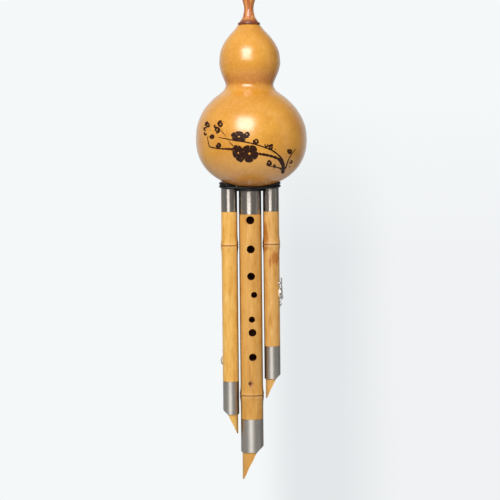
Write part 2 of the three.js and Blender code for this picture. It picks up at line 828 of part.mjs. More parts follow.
for (const pipe of pipes) {
  const front = pipe === melodyPipe ? frontHoleShares.map((hole) => wallHole(pipe, hole, 1)) : [];
  const back = pipe === melodyPipe ? backHoleShares.map((hole) => wallHole(pipe, hole, -1)) : [];
  const keyCuts = keyPlaces.filter((place) => place.pipe === pipe).flatMap(keyCutters);
  const group = new THREE.Group();
  group.position.x = pipe.x;
  group.add(piece(`${pipe.name}_pipe`, bambooPipe(pipe, [...front, ...back, ...keyCuts]), finishes.bamboo));
  group.add(piece(`${pipe.name}_upper_ferrule`, upperFerrule(pipe), finishes.polishedSteel));
  group.add(piece(`${pipe.name}_lower_ferrule`, lowerFerrule(pipe), finishes.satinSteel));
  group.add(piece(`${pipe.name}_reed_tube`, reedTube(pipe), finishes.brass));
  group.add(piece(`${pipe.name}_reed`, reedPlateGeometry(pipe), finishes.brass));
  group.add(piece(`${pipe.name}_reed_stopper`, reedStopperGeometry(pipe), finishes.cork));
  if (keyCuts.length > 0) {
    const plugTop = -ferruleTop(pipe);
    const plug = bar(pipe.bore - fitGap, plugTop - endPlugLength, plugTop, facets.small);
    group.add(piece(`${pipe.name}_end_plug`, plug, finishes.cork));
  }
  instrument.add(group);
}

for (const place of keyPlaces) {
  const group = new THREE.Group();
  group.position.set(place.pipe.x, 0, -keyDepth(place));
  group.rotation.z = THREE.MathUtils.degToRad(place.azimuth);
  group.add(piece(`${place.name}_front_post`, keyPost(place.frontSide), finishes.keySteel));
  group.add(piece(`${place.name}_back_post`, keyPost(-place.frontSide), finishes.keySteel));
  group.add(piece(`${place.name}_pin`, keyPin(), finishes.keySteel));
  group.add(piece(`${place.name}_lever`, keyLever(), finishes.keySteel));
  group.add(piece(`${place.name}_pad`, keyPad(), finishes.leather));
  group.add(piece(`${place.name}_spring`, keySpring(), finishes.keySteel));
  group.add(piece(`${place.name}_spring_screw`, keyScrew(), finishes.keySteel));
  instrument.add(group);
}

export default instrument;
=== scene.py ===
"""Looks of a gourd flute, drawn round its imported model. Lengths are in millimetres until a mesh is made."""

import json
import logging
import math
from collections.abc import Callable, Iterable, Sequence
from dataclasses import dataclass, field, replace
from enum import Enum, IntEnum
from functools import cache
from typing import Protocol

import bpy
from mathutils import Matrix, Vector


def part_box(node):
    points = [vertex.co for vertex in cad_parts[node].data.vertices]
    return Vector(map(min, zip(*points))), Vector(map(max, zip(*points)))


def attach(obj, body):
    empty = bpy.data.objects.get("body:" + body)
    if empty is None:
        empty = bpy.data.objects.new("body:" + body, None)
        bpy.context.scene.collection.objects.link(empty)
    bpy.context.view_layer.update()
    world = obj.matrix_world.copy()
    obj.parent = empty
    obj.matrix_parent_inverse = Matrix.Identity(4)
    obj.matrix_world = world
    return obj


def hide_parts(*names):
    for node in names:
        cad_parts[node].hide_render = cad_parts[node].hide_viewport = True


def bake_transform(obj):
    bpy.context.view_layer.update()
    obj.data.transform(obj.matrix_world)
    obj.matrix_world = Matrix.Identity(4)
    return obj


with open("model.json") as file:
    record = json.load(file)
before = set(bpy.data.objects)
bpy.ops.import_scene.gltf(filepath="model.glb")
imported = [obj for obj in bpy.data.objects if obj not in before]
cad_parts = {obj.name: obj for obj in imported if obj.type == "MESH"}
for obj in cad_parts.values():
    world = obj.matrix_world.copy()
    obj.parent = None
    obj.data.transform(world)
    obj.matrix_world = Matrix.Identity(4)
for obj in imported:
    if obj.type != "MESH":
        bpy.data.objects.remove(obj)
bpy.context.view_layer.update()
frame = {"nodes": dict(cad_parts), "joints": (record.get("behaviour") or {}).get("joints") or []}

log = logging.getLogger("gourd_flute")

METRES_PER_MM = 0.001
FULL_TURN = 2 * math.pi
FIT_GAP = 0.3
CLOSE_GAP = 0.1
OVERRUN = 2.0
EYE = Vector((-1.05, -1500.0, -165.0))
MIX_FIRST, MIX_SECOND, MIX_RESULT = 6, 7, 2
LAID_OVER = Matrix.Rotation(math.pi / 2, 4, "X")
LAID_OUT = Matrix.Rotation(math.pi / 2, 4, "Y")

Level = tuple[float, float]
Triple = tuple[float, float, float]
Colour = tuple[float, float, float]
Socket = bpy.types.NodeSocket


class Side(Enum):
    """Side of the instrument that something faces or lies on."""

    LEFT = -1
    RIGHT = 1


class Body(Enum):
    """Bodies of the model that pieces ride on."""

    ROOT = "root"
    LEFT_KEY = "left_key"
    RIGHT_KEY = "right_key"


class Work(Enum):
    """Ways to combine forms, by Blender's names."""

    CUT = "DIFFERENCE"
    JOIN = "UNION"


class BambooFace(IntEnum):
    """Kinds of face of a bamboo pipe, in the order of its finishes."""

    SKIN = 0
    CUT = 1
    BORE = 2
    SCAR = 3


def srgb(red: int, green: int, blue: int) -> Colour:
    """Linear colour of one given as a screen shows it, 0 to 255."""
    parts = (red / 255, green / 255, blue / 255)
    return tuple(part / 12.92 if part <= 0.04045 else ((part + 0.055) / 1.055) ** 2.4 for part in parts)


def grey(level: float) -> Colour:
    """Grey of a linear level."""
    return (level,) * 3


def eased(share: float) -> float:
    """Smooth step of a share from 0 to 1."""
    held = min(max(share, 0.0), 1.0)
    return held * held * (3 - 2 * held)


def shift(x: float, y: float, z: float) -> Matrix:
    """Move by three distances."""
    return Matrix.Translation((x, y, z))


def arc(centre: Level, radius: Level, degrees: Iterable[float]) -> list[Level]:
    """Points of an oval at some angles."""
    turns = [math.radians(each) for each in degrees]
    return [(centre[0] + radius[0] * math.cos(turn), centre[1] + radius[1] * math.sin(turn)) for turn in turns]


def through(points: Sequence[Sequence[float]], steps: int) -> list[tuple[float, ...]]:
    """Draws a smooth line through points.

    Args:
        points: Points to pass through.
        steps: Steps from each point to the next.

    Returns:
        The points of the smooth line, with both ends.
    """
    line = []
    held = [points[0], *points, points[-1]]
    for four in zip(held, held[1:], held[2:], held[3:]):
        for way in (step / steps for step in range(steps)):
            line.append(tuple(
                0.5 * (2 * b + (c - a) * way + (2 * a - 5 * b + 4 * c - d) * way**2
                       + (3 * b - 3 * c + d - a) * way**3)
                for a, b, c, d in zip(*four)
            ))
    return [*line, tuple(points[-1])]


def beside(line: Sequence[Sequence[float]]) -> list[Level]:
    """Finds the direction to the left of a flat line at each of its points.

    Args:
        line: Points of the line.

    Returns:
        A step of one millimetre for each point.
    """
    steps = []
    for before, after in zip([line[0], *line[:-1]], [*line[1:], line[-1]]):
        run = math.hypot(after[0] - before[0], after[1] - before[1])
        steps.append(((before[1] - after[1]) / run, (after[0] - before[0]) / run))
    return steps


def strip(route: Sequence[Level], thickness: float) -> list[Level]:
    """Draws the side outline of a strip of even thickness.

    Args:
        route: Points along the strip's middle.
        thickness: The strip's thickness.

    Returns:
        The outline's points.
    """
    half = thickness / 2
    edges = [
        [(x + sign * out * half, z + sign * up * half) for (x, z), (out, up) in zip(route, beside(route))]
        for sign in (-1, 1)
    ]
    return [*edges[0], *reversed(edges[1])]


def node_box(node: str) -> tuple[Vector, Vector]:
    """Lowest and highest corner of a node of the model, in millimetres."""
    low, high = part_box(node)
    return Vector(low) / METRES_PER_MM, Vector(high) / METRES_PER_MM


@dataclass
class Form:
    """Closed mesh while it is drawn, in millimetres."""

    points: list[Vector] = field(default_factory=list)
    faces: list[tuple[int, ...]] = field(default_factory=list)

    def bent(self, send: Callable[[Vector], Vector]) -> "Form":
        """Form with each point sent to a new place."""
        return Form([send(point) for point in self.points], list(self.faces))

    def moved(self, matrix: Matrix) -> "Form":
        """Form after a move or turn."""
        return self.bent(lambda point: matrix @ point)

    def mesh(self, name: str) -> bpy.types.Mesh:
        """Makes a Blender mesh in metres.

        Args:
            name: The mesh's name.

        Returns:
            The mesh.
        """
        made = bpy.data.meshes.new(name)
        made.from_pydata([point * METRES_PER_MM for point in self.points], [], self.faces)
        made.validate()
        return made


def joined(forms: Sequence[Form]) -> Form:
    """Puts forms into one mesh, uncut.

    Args:
        forms: The forms.

    Returns:
        One form that holds them all.
    """
    whole = Form()
    for form in forms:
        first = len(whole.points)
        whole.points.extend(form.points)
        whole.faces.extend(tuple(first + corner for corner in face) for face in form.faces)
    return whole


def turned(profile: Sequence[Level], sides: int) -> Form:
    """Turns an outline round the upright axis.

    Args:
        profile: Points of radius and height, from axis to axis or closed on itself, anticlockwise.
        sides: Steps round.

    Returns:
        The turned form.
    """
    form = Form()
    rings = []
    closed = profile[0] == profile[-1]
    for radius, height in profile[:-1] if closed else profile:
        first = len(form.points)
        if radius < 1e-6:
            rings.append([first] * sides)
            form.points.append(Vector((0, 0, height)))
            continue
        rings.append(list(range(first, first + sides)))
        turns = [FULL_TURN * step / sides for step in range(sides)]
        form.points.extend(Vector((radius * math.cos(turn), radius * math.sin(turn), height)) for turn in turns)
    if closed:
        rings.append(rings[0])
    for lower, upper in zip(rings, rings[1:]):
        for step in range(sides):
            after = (step + 1) % sides
            face = tuple(dict.fromkeys((lower[step], lower[after], upper[after], upper[step])))
            if len(face) > 2:
                form.faces.append(face)
    return form


def bar(radius: float, low: float, high: float, sides: int = 32) -> Form:
    """Round bar along the upright axis, between two heights."""
    return turned([(0, low), (radius, low), (radius, high), (0, high)], sides)


def softened(radius: float, low: float, high: float, edge: float, sides: int) -> Form:
    """Makes a round bar along the upright axis, with rounded edges.

    Args:
        radius: The bar's radius.
        low: Height of its lower end.
        high: Height of its upper end.
        edge: Radius of its edges.
        sides: Steps round.

    Returns:
        The bar.
    """
    ends = ((low + edge, range(-90, 1, 30)), (high - edge, range(0, 91, 30)))
    rounds = [point for level, turns in ends for point in arc((radius - edge, level), (edge, edge), turns)]
    return turned([(0, low), *rounds, (0, high)], sides)


def block(low: Triple, high: Triple) -> Form:
    """Box between its lowest and its highest corner."""
    points = [Vector((x, y, z)) for z in (low[2], high[2]) for y in (low[1], high[1]) for x in (low[0], high[0])]
    return Form(points, [(0, 2, 3, 1), (4, 5, 7, 6), (0, 1, 5, 4), (1, 3, 7, 5), (3, 2, 6, 7), (2, 0, 4, 6)])


def pushed(outline: Sequence[Level], width: float) -> Form:
    """Pushes an outline in the upright plane to both sides of it.

    Args:
        outline: Points across and up, anticlockwise seen from the front.
        width: Width of the form from front to back.

    Returns:
        The pushed form.
    """
    count = len(outline)
    points = [Vector((x, side * width / 2, z)) for side in (-1, 1) for x, z in outline]
    walls = [(i, count + i, count + (i + 1) % count, (i + 1) % count) for i in range(count)]
    return Form(points, [tuple(range(count)), tuple(range(2 * count - 1, count - 1, -1)), *walls])


def lofted(rings: Sequence[Sequence[Vector]]) -> Form:
    """Lays a skin over rings of as many points each and closes both ends.

    Args:
        rings: The rings, clockwise seen from the first one.

    Returns:
        The form.
    """
    sides = len(rings[0])
    form = Form([point for ring in rings for point in ring])
    for start in range(0, (len(rings) - 1) * sides, sides):
        for step in range(sides):
            first, second = start + step, start + (step + 1) % sides
            form.faces.append((first, second, second + sides, first + sides))
    last = (len(rings) - 1) * sides
    form.faces += [tuple(range(sides - 1, -1, -1)), tuple(range(last, last + sides))]
    return form


def placed(name: str, data: bpy.types.ID, place: Matrix = Matrix.Identity(4)) -> bpy.types.Object:
    """Links a mesh, lamp or camera into the scene.

    Args:
        name: The object's name.
        data: What it shows.
        place: Its place in metres.

    Returns:
        The object.
    """
    made = bpy.data.objects.new(name, data)
    bpy.context.scene.collection.objects.link(made)
    made.matrix_world = place
    return made


def combined(form: Form, others: Sequence[Form], work: Work = Work.CUT) -> bpy.types.Mesh:
    """Cuts forms out of a form, or joins them to it.

    Args:
        form: The form that is cut or joined to.
        others: The other forms.
        work: What is done.

    Returns:
        The finished mesh in metres.
    """
    subject, *tools = [placed("part", each.mesh("part")) for each in (form, *others)]
    for tool in tools:
        step = subject.modifiers.new("step", "BOOLEAN")
        step.object, step.operation, step.solver = tool, work.value, "EXACT"
    bpy.context.view_layer.update()
    result = bpy.data.meshes.new_from_object(subject.evaluated_get(bpy.context.evaluated_depsgraph_get()))
    for each in (*tools, subject):
        bpy.data.objects.remove(each)
    return result


class Tree:
    """Node tree of a material or the world, with short calls for what they share."""

    def __init__(self, owner: bpy.types.Material | bpy.types.World, coordinates: str, unit: float) -> None:
        """Empties the tree and takes its coordinates.

        Args:
            owner: The material or world.
            coordinates: Blender's name for the coordinates.
            unit: What 1 in a call stands for in them.
        """
        owner.use_nodes = True
        owner.node_tree.nodes.clear()
        self.owner = owner
        self.unit = unit
        self.places = self.node("TexCoord").outputs[coordinates]

    def fill(self, node: bpy.types.Node, inputs: dict[str | int, object]) -> None:
        """Links sockets to a node's inputs or sets values there.

        Args:
            node: The node.
            inputs: Sockets and values by the input's name or number.
        """
        for name, value in inputs.items():
            if isinstance(value, Socket):
                self.owner.node_tree.links.new(value, node.inputs[name])
            else:
                node.inputs[name].default_value = value

    def node(self, kind: str, inputs: dict[str | int, object] | None = None, **settings: str) -> bpy.types.Node:
        """Adds a node.

        Args:
            kind: Blender's name for its kind, without ShaderNode.
            inputs: Sockets and values for its inputs.
            settings: The node's own settings.

        Returns:
            The node.
        """
        made = self.owner.node_tree.nodes.new("ShaderNode" + kind)
        for name, value in settings.items():
            setattr(made, name, value)
        self.fill(made, inputs or {})
        return made

    def span(self, axis: str, start: float, end: float) -> Socket:
        """Measures the share of the way between two places along an axis.

        Args:
            axis: The axis.
            start: Place where the share is 0.
            end: Place where it is 1.

        Returns:
            The share.
        """
        along = self.node("SeparateXYZ", {"Vector": self.places}).outputs[axis]
        ends = {"From Min": start * self.unit, "From Max": end * self.unit}
        return self.node("MapRange", {"Value": along} | ends).outputs["Result"]

    def ramp(self, source: Socket, *stops: tuple[float, Colour]) -> Socket:
        """Gives colours along a share.

        Args:
            source: The share.
            stops: Pairs of share and colour.

        Returns:
            The colour.
        """
        ramp = self.node("ValToRGB", {"Fac": source})
        ramp.color_ramp.interpolation = "EASE"
        bands = ramp.color_ramp.elements
        while len(bands) < len(stops):
            bands.new(0.5)
        for band, (share, colour) in zip(bands, stops):
            band.position, band.color = share, (*colour, 1.0)
        return ramp.outputs["Color"]

    def levels(self, source: Socket, low: float, high: float, most: float = 1.0) -> Socket:
        """Black below one share, and a grey, at most white, above another."""
        return self.ramp(source, (low, grey(0)), (high, grey(most)))

    def sum(self, first: Socket, second: Socket | float, operation: str = "MULTIPLY") -> Socket:
        """Two numbers worked into one."""
        return self.node("Math", {0: first, 1: second}, operation=operation).outputs["Value"]

    def mixed(self, share: Socket, *colours: Socket | Colour) -> Socket:
        """Mixes two colours.

        Args:
            share: Share of the second one.
            colours: The two colours.

        Returns:
            The colour between them.
        """
        first, second = (each if isinstance(each, Socket) else (*each, 1.0) for each in colours)
        inputs = {"Factor": share, MIX_FIRST: first, MIX_SECOND: second}
        return self.node("Mix", inputs, data_type="RGBA").outputs[MIX_RESULT]

    def layered(self, skin: Socket, *layers: tuple[Socket, Socket | Colour]) -> Socket:
        """Lays colours over a skin.

        Args:
            skin: The skin's colour.
            layers: Pairs of strength and colour, the lowest first.

        Returns:
            The colour.
        """
        for strength, colour in layers:
            skin = self.mixed(strength, skin, colour)
        return skin


class Bench(Tree):
    """Material of one finish while it is made."""

    def __init__(self, name: str) -> None:
        """Starts the material with its shader.

        Args:
            name: The material's name.
        """
        super().__init__(bpy.data.materials.new(name), "Object", METRES_PER_MM)
        self.shader = self.node("BsdfPrincipled")
        self.node("OutputMaterial", {"Surface": self.shader.outputs["BSDF"]})

    def cloud(self, stretch: Triple, detail: float = 4.0, rough: float = 0.55) -> Socket:
        """Makes soft noise.

        Args:
            stretch: Features per metre along each axis.
            detail: Finer octaves that are added.
            rough: Weight of the finer octaves.

        Returns:
            The noise.
        """
        place = self.node("Mapping", {"Vector": self.places, "Scale": stretch}).outputs["Vector"]
        inputs = {"Vector": place, "Scale": 1.0, "Detail": detail, "Roughness": rough}
        return self.node("TexNoise", inputs).outputs["Fac"]

    def band(self, level: float, reach: float, most: float = 1.0) -> Socket:
        """Ring round an upright piece, strongest at one height and faded out at a reach from it."""
        return self.ramp(self.span("Z", level - reach, level + reach), (0, grey(0)), (0.5, grey(most)), (1, grey(0)))

    def away(self, place: Socket) -> Socket:
        """Distance of a place from the middle."""
        return self.node("VectorMath", {0: place}, operation="LENGTH").outputs["Value"]

    def spot(self, centre: Triple, reach: Triple) -> Socket:
        """Cloudy spot on the piece.

        Args:
            centre: Its middle in millimetres.
            reach: Distance along each axis where it has faded out.

        Returns:
            The spot's strength.
        """
        scale = [1 / (length * METRES_PER_MM) for length in reach]
        start = [-middle / length for middle, length in zip(centre, reach)]
        near = self.node("Mapping", {"Vector": self.places, "Scale": scale, "Location": start}).outputs["Vector"]
        ragged = self.sum(self.away(near), self.cloud((640, 640, 190), 5, 0.66))
        return self.ramp(self.sum(ragged, ragged), (0.2, grey(0.8)), (1.0, grey(0)))

    def done(self, colour: Socket, height: Socket, depth: float, **values: float) -> bpy.types.Material:
        """Gives the shader its colour, relief and numbers.

        Args:
            colour: The colour.
            height: Height of the relief, from 0 to 1.
            depth: Millimetres that 1 stands for.
            values: Numbers by the shader's own sockets, with an underscore for each space.

        Returns:
            The material.
        """
        bump = self.node("Bump", {"Strength": 1.0, "Distance": depth * METRES_PER_MM, "Height": height})
        self.fill(self.shader, {"Base Color": colour, "Normal": bump.outputs["Normal"]})
        self.fill(self.shader, {name.replace("_", " "): value for name, value in values.items()})
        return self.owner


class Finish(Protocol):
    """What the surface of a piece is."""

    name: str

    def make(self) -> bpy.types.Material:
        """Makes the material."""


@dataclass(frozen=True)
class GourdFinish:
    """Dried gourd under clear gloss lacquer, darker towards its base, with painted shade round the waist under its
    head.
    """

    name: str = "gourd_lacquer"
    light: Colour = srgb(233, 164, 52)
    deep: Colour = srgb(218, 146, 42)
    low: Colour = srgb(200, 118, 10)
    pore: Colour = srgb(182, 108, 36)
    fleck: Colour = srgb(250, 192, 96)
    base_span: Level = (-160.0, -182.0)
    head_shade_level: float = -85.0
    head_shade_reach: float = 9.5

    def make(self) -> bpy.types.Material:
        """Makes the material.

        Returns:
            The material.
        """
        bench = Bench(self.name)
        streaks = bench.levels(bench.cloud((160, 160, 22), 3), 0.5, 0.8)
        pores = bench.levels(bench.cloud((1500, 1500, 1500), 2), 0.66, 0.8)
        skin = bench.layered(
            bench.mixed(bench.levels(bench.cloud((26, 26, 34)), 0.35, 0.68), self.deep, self.light),
            (bench.sum(streaks, bench.cloud((60, 60, 60), 1)), self.deep),
            (bench.levels(bench.span("Z", *self.base_span), 0.1, 1.0), self.low),
            # Painted shade round the waist, under the head's overhang.
            (bench.band(self.head_shade_level, self.head_shade_reach, 0.75), self.low),
            (bench.levels(bench.cloud((420, 420, 380), 4, 0.65), 0.44, 0.7, 0.3), self.fleck),
            (bench.sum(pores, bench.cloud((90, 90, 90), 2)), self.pore),
        )
        return bench.done(
            skin, bench.cloud((70, 70, 60), 3), 0.35,
            Roughness=0.34, Specular_IOR_Level=0.4, Coat_Weight=1.0, Coat_Roughness=0.23, Coat_IOR=1.62,
        )


@dataclass(frozen=True)
class BurntFinish:
    """Drawing burnt into the gourd, under the same lacquer."""

    name: str = "burnt_drawing"
    dark: Colour = srgb(38, 14, 2)
    light: Colour = srgb(84, 40, 12)

    def make(self) -> bpy.types.Material:
        """Makes the material.

        Returns:
            The material.
        """
        bench = Bench(self.name)
        char = bench.ramp(bench.cloud((900, 900, 900), 3), (0.42, self.dark), (0.78, self.light))
        return bench.done(
            char, bench.cloud((1200, 1200, 1200), 2), 0.03,
            Roughness=0.6, Specular_IOR_Level=0.15, Coat_Weight=0.2, Coat_Roughness=0.25, Coat_IOR=1.5,
        )


@dataclass(frozen=True)
class RosewoodFinish:
    """Turned and lacquered rosewood."""

    name: str = "turned_rosewood"
    light: Colour = srgb(224, 150, 80)
    dark: Colour = srgb(180, 92, 38)
    foot: Colour = srgb(146, 70, 20)
    foot_span: Level = (-28.5, -33.0)

    def make(self) -> bpy.types.Material:
        """Makes the material.

        Returns:
            The material.
        """
        bench = Bench(self.name)
        grain = bench.cloud((420, 420, 24), 5, 0.58)
        wood = bench.layered(
            bench.ramp(grain, (0.36, self.dark), (0.56, self.light)),
            (bench.levels(bench.span("Z", *self.foot_span), 0.0, 1.0), self.foot),
            (bench.levels(bench.cloud((2600, 2600, 120), 2), 0.62, 0.76), self.dark),
        )
        return bench.done(wood, grain, 0.03, Roughness=0.42, Coat_Weight=0.9, Coat_Roughness=0.1, Coat_IOR=1.5)


@dataclass(frozen=True)
class BambooFinish:
    """Golden bamboo, polished, with fine fibres, a stain by its node, painted highlight rings on the node's ridges
    and painted shade on the sides that face a neighbouring pipe.
    """

    name: str
    light: Colour
    body: Colour
    deep: Colour
    node_level: float
    painted_shade_spans: tuple[Level, ...]
    stains: tuple[tuple[Triple, Triple], ...] = ()
    stain: Colour = srgb(184, 106, 30)
    scar: Colour = srgb(140, 82, 38)
    pale: Colour = srgb(250, 212, 146)
    shade: Colour = srgb(96, 50, 20)
    ridge_highlight_rings: Level = (1.7, -1.6)

    def make(self) -> bpy.types.Material:
        """Makes the material.

        Returns:
            The material.
        """
        bench = Bench(self.name)
        fibres = bench.cloud((2400, 2400, 22), 4, 0.6)
        blotch = bench.levels(bench.cloud((210, 210, 90), 5, 0.66), 0.48, 0.7)
        skin = bench.layered(
            bench.ramp(bench.cloud((340, 340, 70), 5, 0.6), (0.3, self.deep), (0.5, self.body), (0.7, self.light)),
            (bench.levels(fibres, 0.52, 0.78, 0.4), self.deep),
            (bench.levels(bench.cloud((95, 95, 26), 3), 0.42, 0.72, 0.5), self.light),
            (bench.sum(bench.band(self.node_level, 13.0, 0.6), blotch), self.stain),
            *((bench.spot(centre, reach), self.stain) for centre, reach in self.stains),
            # Painted highlight: pale rings on the node's two ridges.
            *((bench.band(self.node_level + off, 1.0, 0.24), self.pale) for off in self.ridge_highlight_rings),
            (bench.band(self.node_level, 0.9, 0.85), self.scar),
            # Painted shade on the sides that face a neighbouring pipe.
            *((bench.levels(bench.span("X", low, high), 0.0, 0.8), self.shade) for low, high in self.painted_shade_spans),
        )
        return bench.done(skin, fibres, 0.02, Roughness=0.45, Coat_Weight=0.35, Coat_Roughness=0.25, Coat_IOR=1.45)


@dataclass(frozen=True)
class MetalFinish:
    """Metal with fine marks of its making, with painted shade on the sides that face a neighbouring pipe."""

    name: str
    light: Colour
    dark: Colour
    roughness: float
    marks: Triple = (60, 60, 3600)
    mark_depth: float = 0.004
    brushed: float = 0.0
    painted_shade_spans: tuple[Level, ...] = ()
    shade: Colour = srgb(54, 40, 32)

    def make(self) -> bpy.types.Material:
        """Makes the material, whose reflections spread along the axis if it is brushed round.

        Returns:
            The material.
        """
        bench = Bench(self.name)
        lines = bench.cloud(self.marks, 3, 0.6)
        tone = bench.layered(
            bench.ramp(bench.cloud((90, 90, 50), 3), (0.3, self.dark), (0.7, self.light)),
            (bench.levels(lines, 0.4, 0.8, 0.5), self.dark),
            # Painted shade on the sides that face a neighbouring pipe.
            *((bench.levels(bench.span("X", low, high), 0.0, 1.0), self.shade) for low, high in self.painted_shade_spans),
        )
        if self.brushed:
            tangent = bench.node("Tangent", direction_type="RADIAL", axis="Z").outputs["Tangent"]
            spread = {"Tangent": tangent, "Anisotropic": self.brushed, "Anisotropic Rotation": 0.25}
            bench.fill(bench.shader, spread)
        return bench.done(tone, lines, self.mark_depth, Metallic=1.0, Roughness=self.roughness)


@dataclass(frozen=True)
class MottledFinish:
    """Cork, wax, leather and other dull stuff with two mottled tones."""

    name: str
    light: Colour
    dark: Colour
    grain: Triple
    depth: float
    roughness: float
    detail: float = 4
    rough: float = 0.65
    span: Level = (0.36, 0.64)

    def make(self) -> bpy.types.Material:
        """Makes the material.

        Returns:
            The material.
        """
        bench = Bench(self.name)
        crumbs = bench.cloud(self.grain, self.detail, self.rough)
        tone = bench.ramp(crumbs, (self.span[0], self.dark), (self.span[1], self.light))
        return bench.done(tone, crumbs, self.depth, Roughness=self.roughness)


LEATHER = MottledFinish("pad_leather", srgb(250, 232, 198), srgb(232, 208, 168), (700, 700, 700), 0.05, 0.75)
BUD_SCAR = MottledFinish("bud_scar", srgb(214, 156, 86), srgb(150, 92, 44), (1300, 1300, 1300), 0.12, 0.6)
CORK = MottledFinish("cork", srgb(196, 148, 98), srgb(142, 96, 58), (800, 800, 800), 0.12, 0.9)
WAX = MottledFinish("beeswax", srgb(150, 100, 44), srgb(120, 74, 28), (160, 160, 160), 0.2, 0.5)
CORD = MottledFinish("waxed_cord", srgb(30, 29, 30), srgb(10, 10, 11), (1800, 1800, 1800), 0.05, 0.38)
RAW_BAMBOO = MottledFinish(
    "cut_bamboo", srgb(236, 190, 120), srgb(196, 140, 74), (1700, 1700, 400), 0.05, 0.7, 3, 0.55
)
# Bore and hole walls, darker than the cut bamboo as painted shade inside the pipe.
BORE = MottledFinish(
    "dark_bore", srgb(170, 104, 62), srgb(112, 62, 36), (300, 300, 90), 0.08, 0.85, 4, 0.55, (0.4, 0.75)
)
POLISHED = MetalFinish(
    "polished_steel", srgb(194, 186, 177), srgb(182, 175, 166), 0.38, mark_depth=0.0, brushed=1.0
)
SATIN = MetalFinish(
    "satin_steel", srgb(216, 210, 202), srgb(204, 198, 190), 0.6,
    mark_depth=0.0008, brushed=0.8, shade=srgb(104, 74, 56),
)
KEY_METAL = MetalFinish("key_metal", srgb(228, 225, 220), srgb(196, 193, 187), 0.26, (900, 900, 900), 0.003)
BRASS = MetalFinish("drawn_brass", srgb(214, 178, 96), srgb(180, 140, 66), 0.3, (1500, 1500, 40))
REED_BRASS = MetalFinish("hammered_brass", srgb(206, 164, 84), srgb(166, 122, 52), 0.34, (700, 700, 700))


@cache
def material(finish: Finish) -> bpy.types.Material:
    """Material of a finish, made once."""
    return finish.make()


def show(
    name: str,
    shape: bpy.types.Mesh | Form,
    finishes: Sequence[Finish],
    body: Body | None = Body.ROOT,
    nodes: Sequence[str] = (),
    pick: Callable[[Vector, Vector], int] | None = None,
    crease: float = 32.0,
) -> bpy.types.Object:
    """Makes a finished piece that rides on a body.

    Args:
        name: The piece's name.
        shape: Its mesh, or its form.
        finishes: Its finishes, the main one first.
        body: The body it rides on, or None where the caller places it.
        nodes: Nodes of the model that it stands for.
        pick: Chooses a finish's index from a face's centre in millimetres and its normal.
        crease: Angle in degrees over which an edge stays sharp.

    Returns:
        The piece.
    """
    made = shape.mesh(name) if isinstance(shape, Form) else shape
    made.name = name
    made.materials.clear()
    for finish in finishes:
        made.materials.append(material(finish))
    for face in made.polygons:
        face.use_smooth = True
        face.material_index = pick(face.center / METRES_PER_MM, face.normal) if pick else 0
    made.set_sharp_from_angle(angle=math.radians(crease))
    piece = placed(name, made)
    if body:
        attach(piece, body.value)
    if nodes:
        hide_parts(*nodes)
    log.info("%s: %d faces", name, len(made.polygons))
    return piece


def dress(node: str, finish: Finish) -> None:
    """Gives a node of the model that stays in view its finish.

    Args:
        node: The node's name.
        finish: Its finish.
    """
    shape = frame["nodes"][node]
    shape.data.materials.clear()
    shape.data.materials.append(material(finish))
    log.info("%s: dressed", node)


@dataclass(frozen=True)
class Station:
    """Level where the gourd is widest or narrowest, with its radius and its lean to the right."""

    height: float
    radius: float
    lean: float


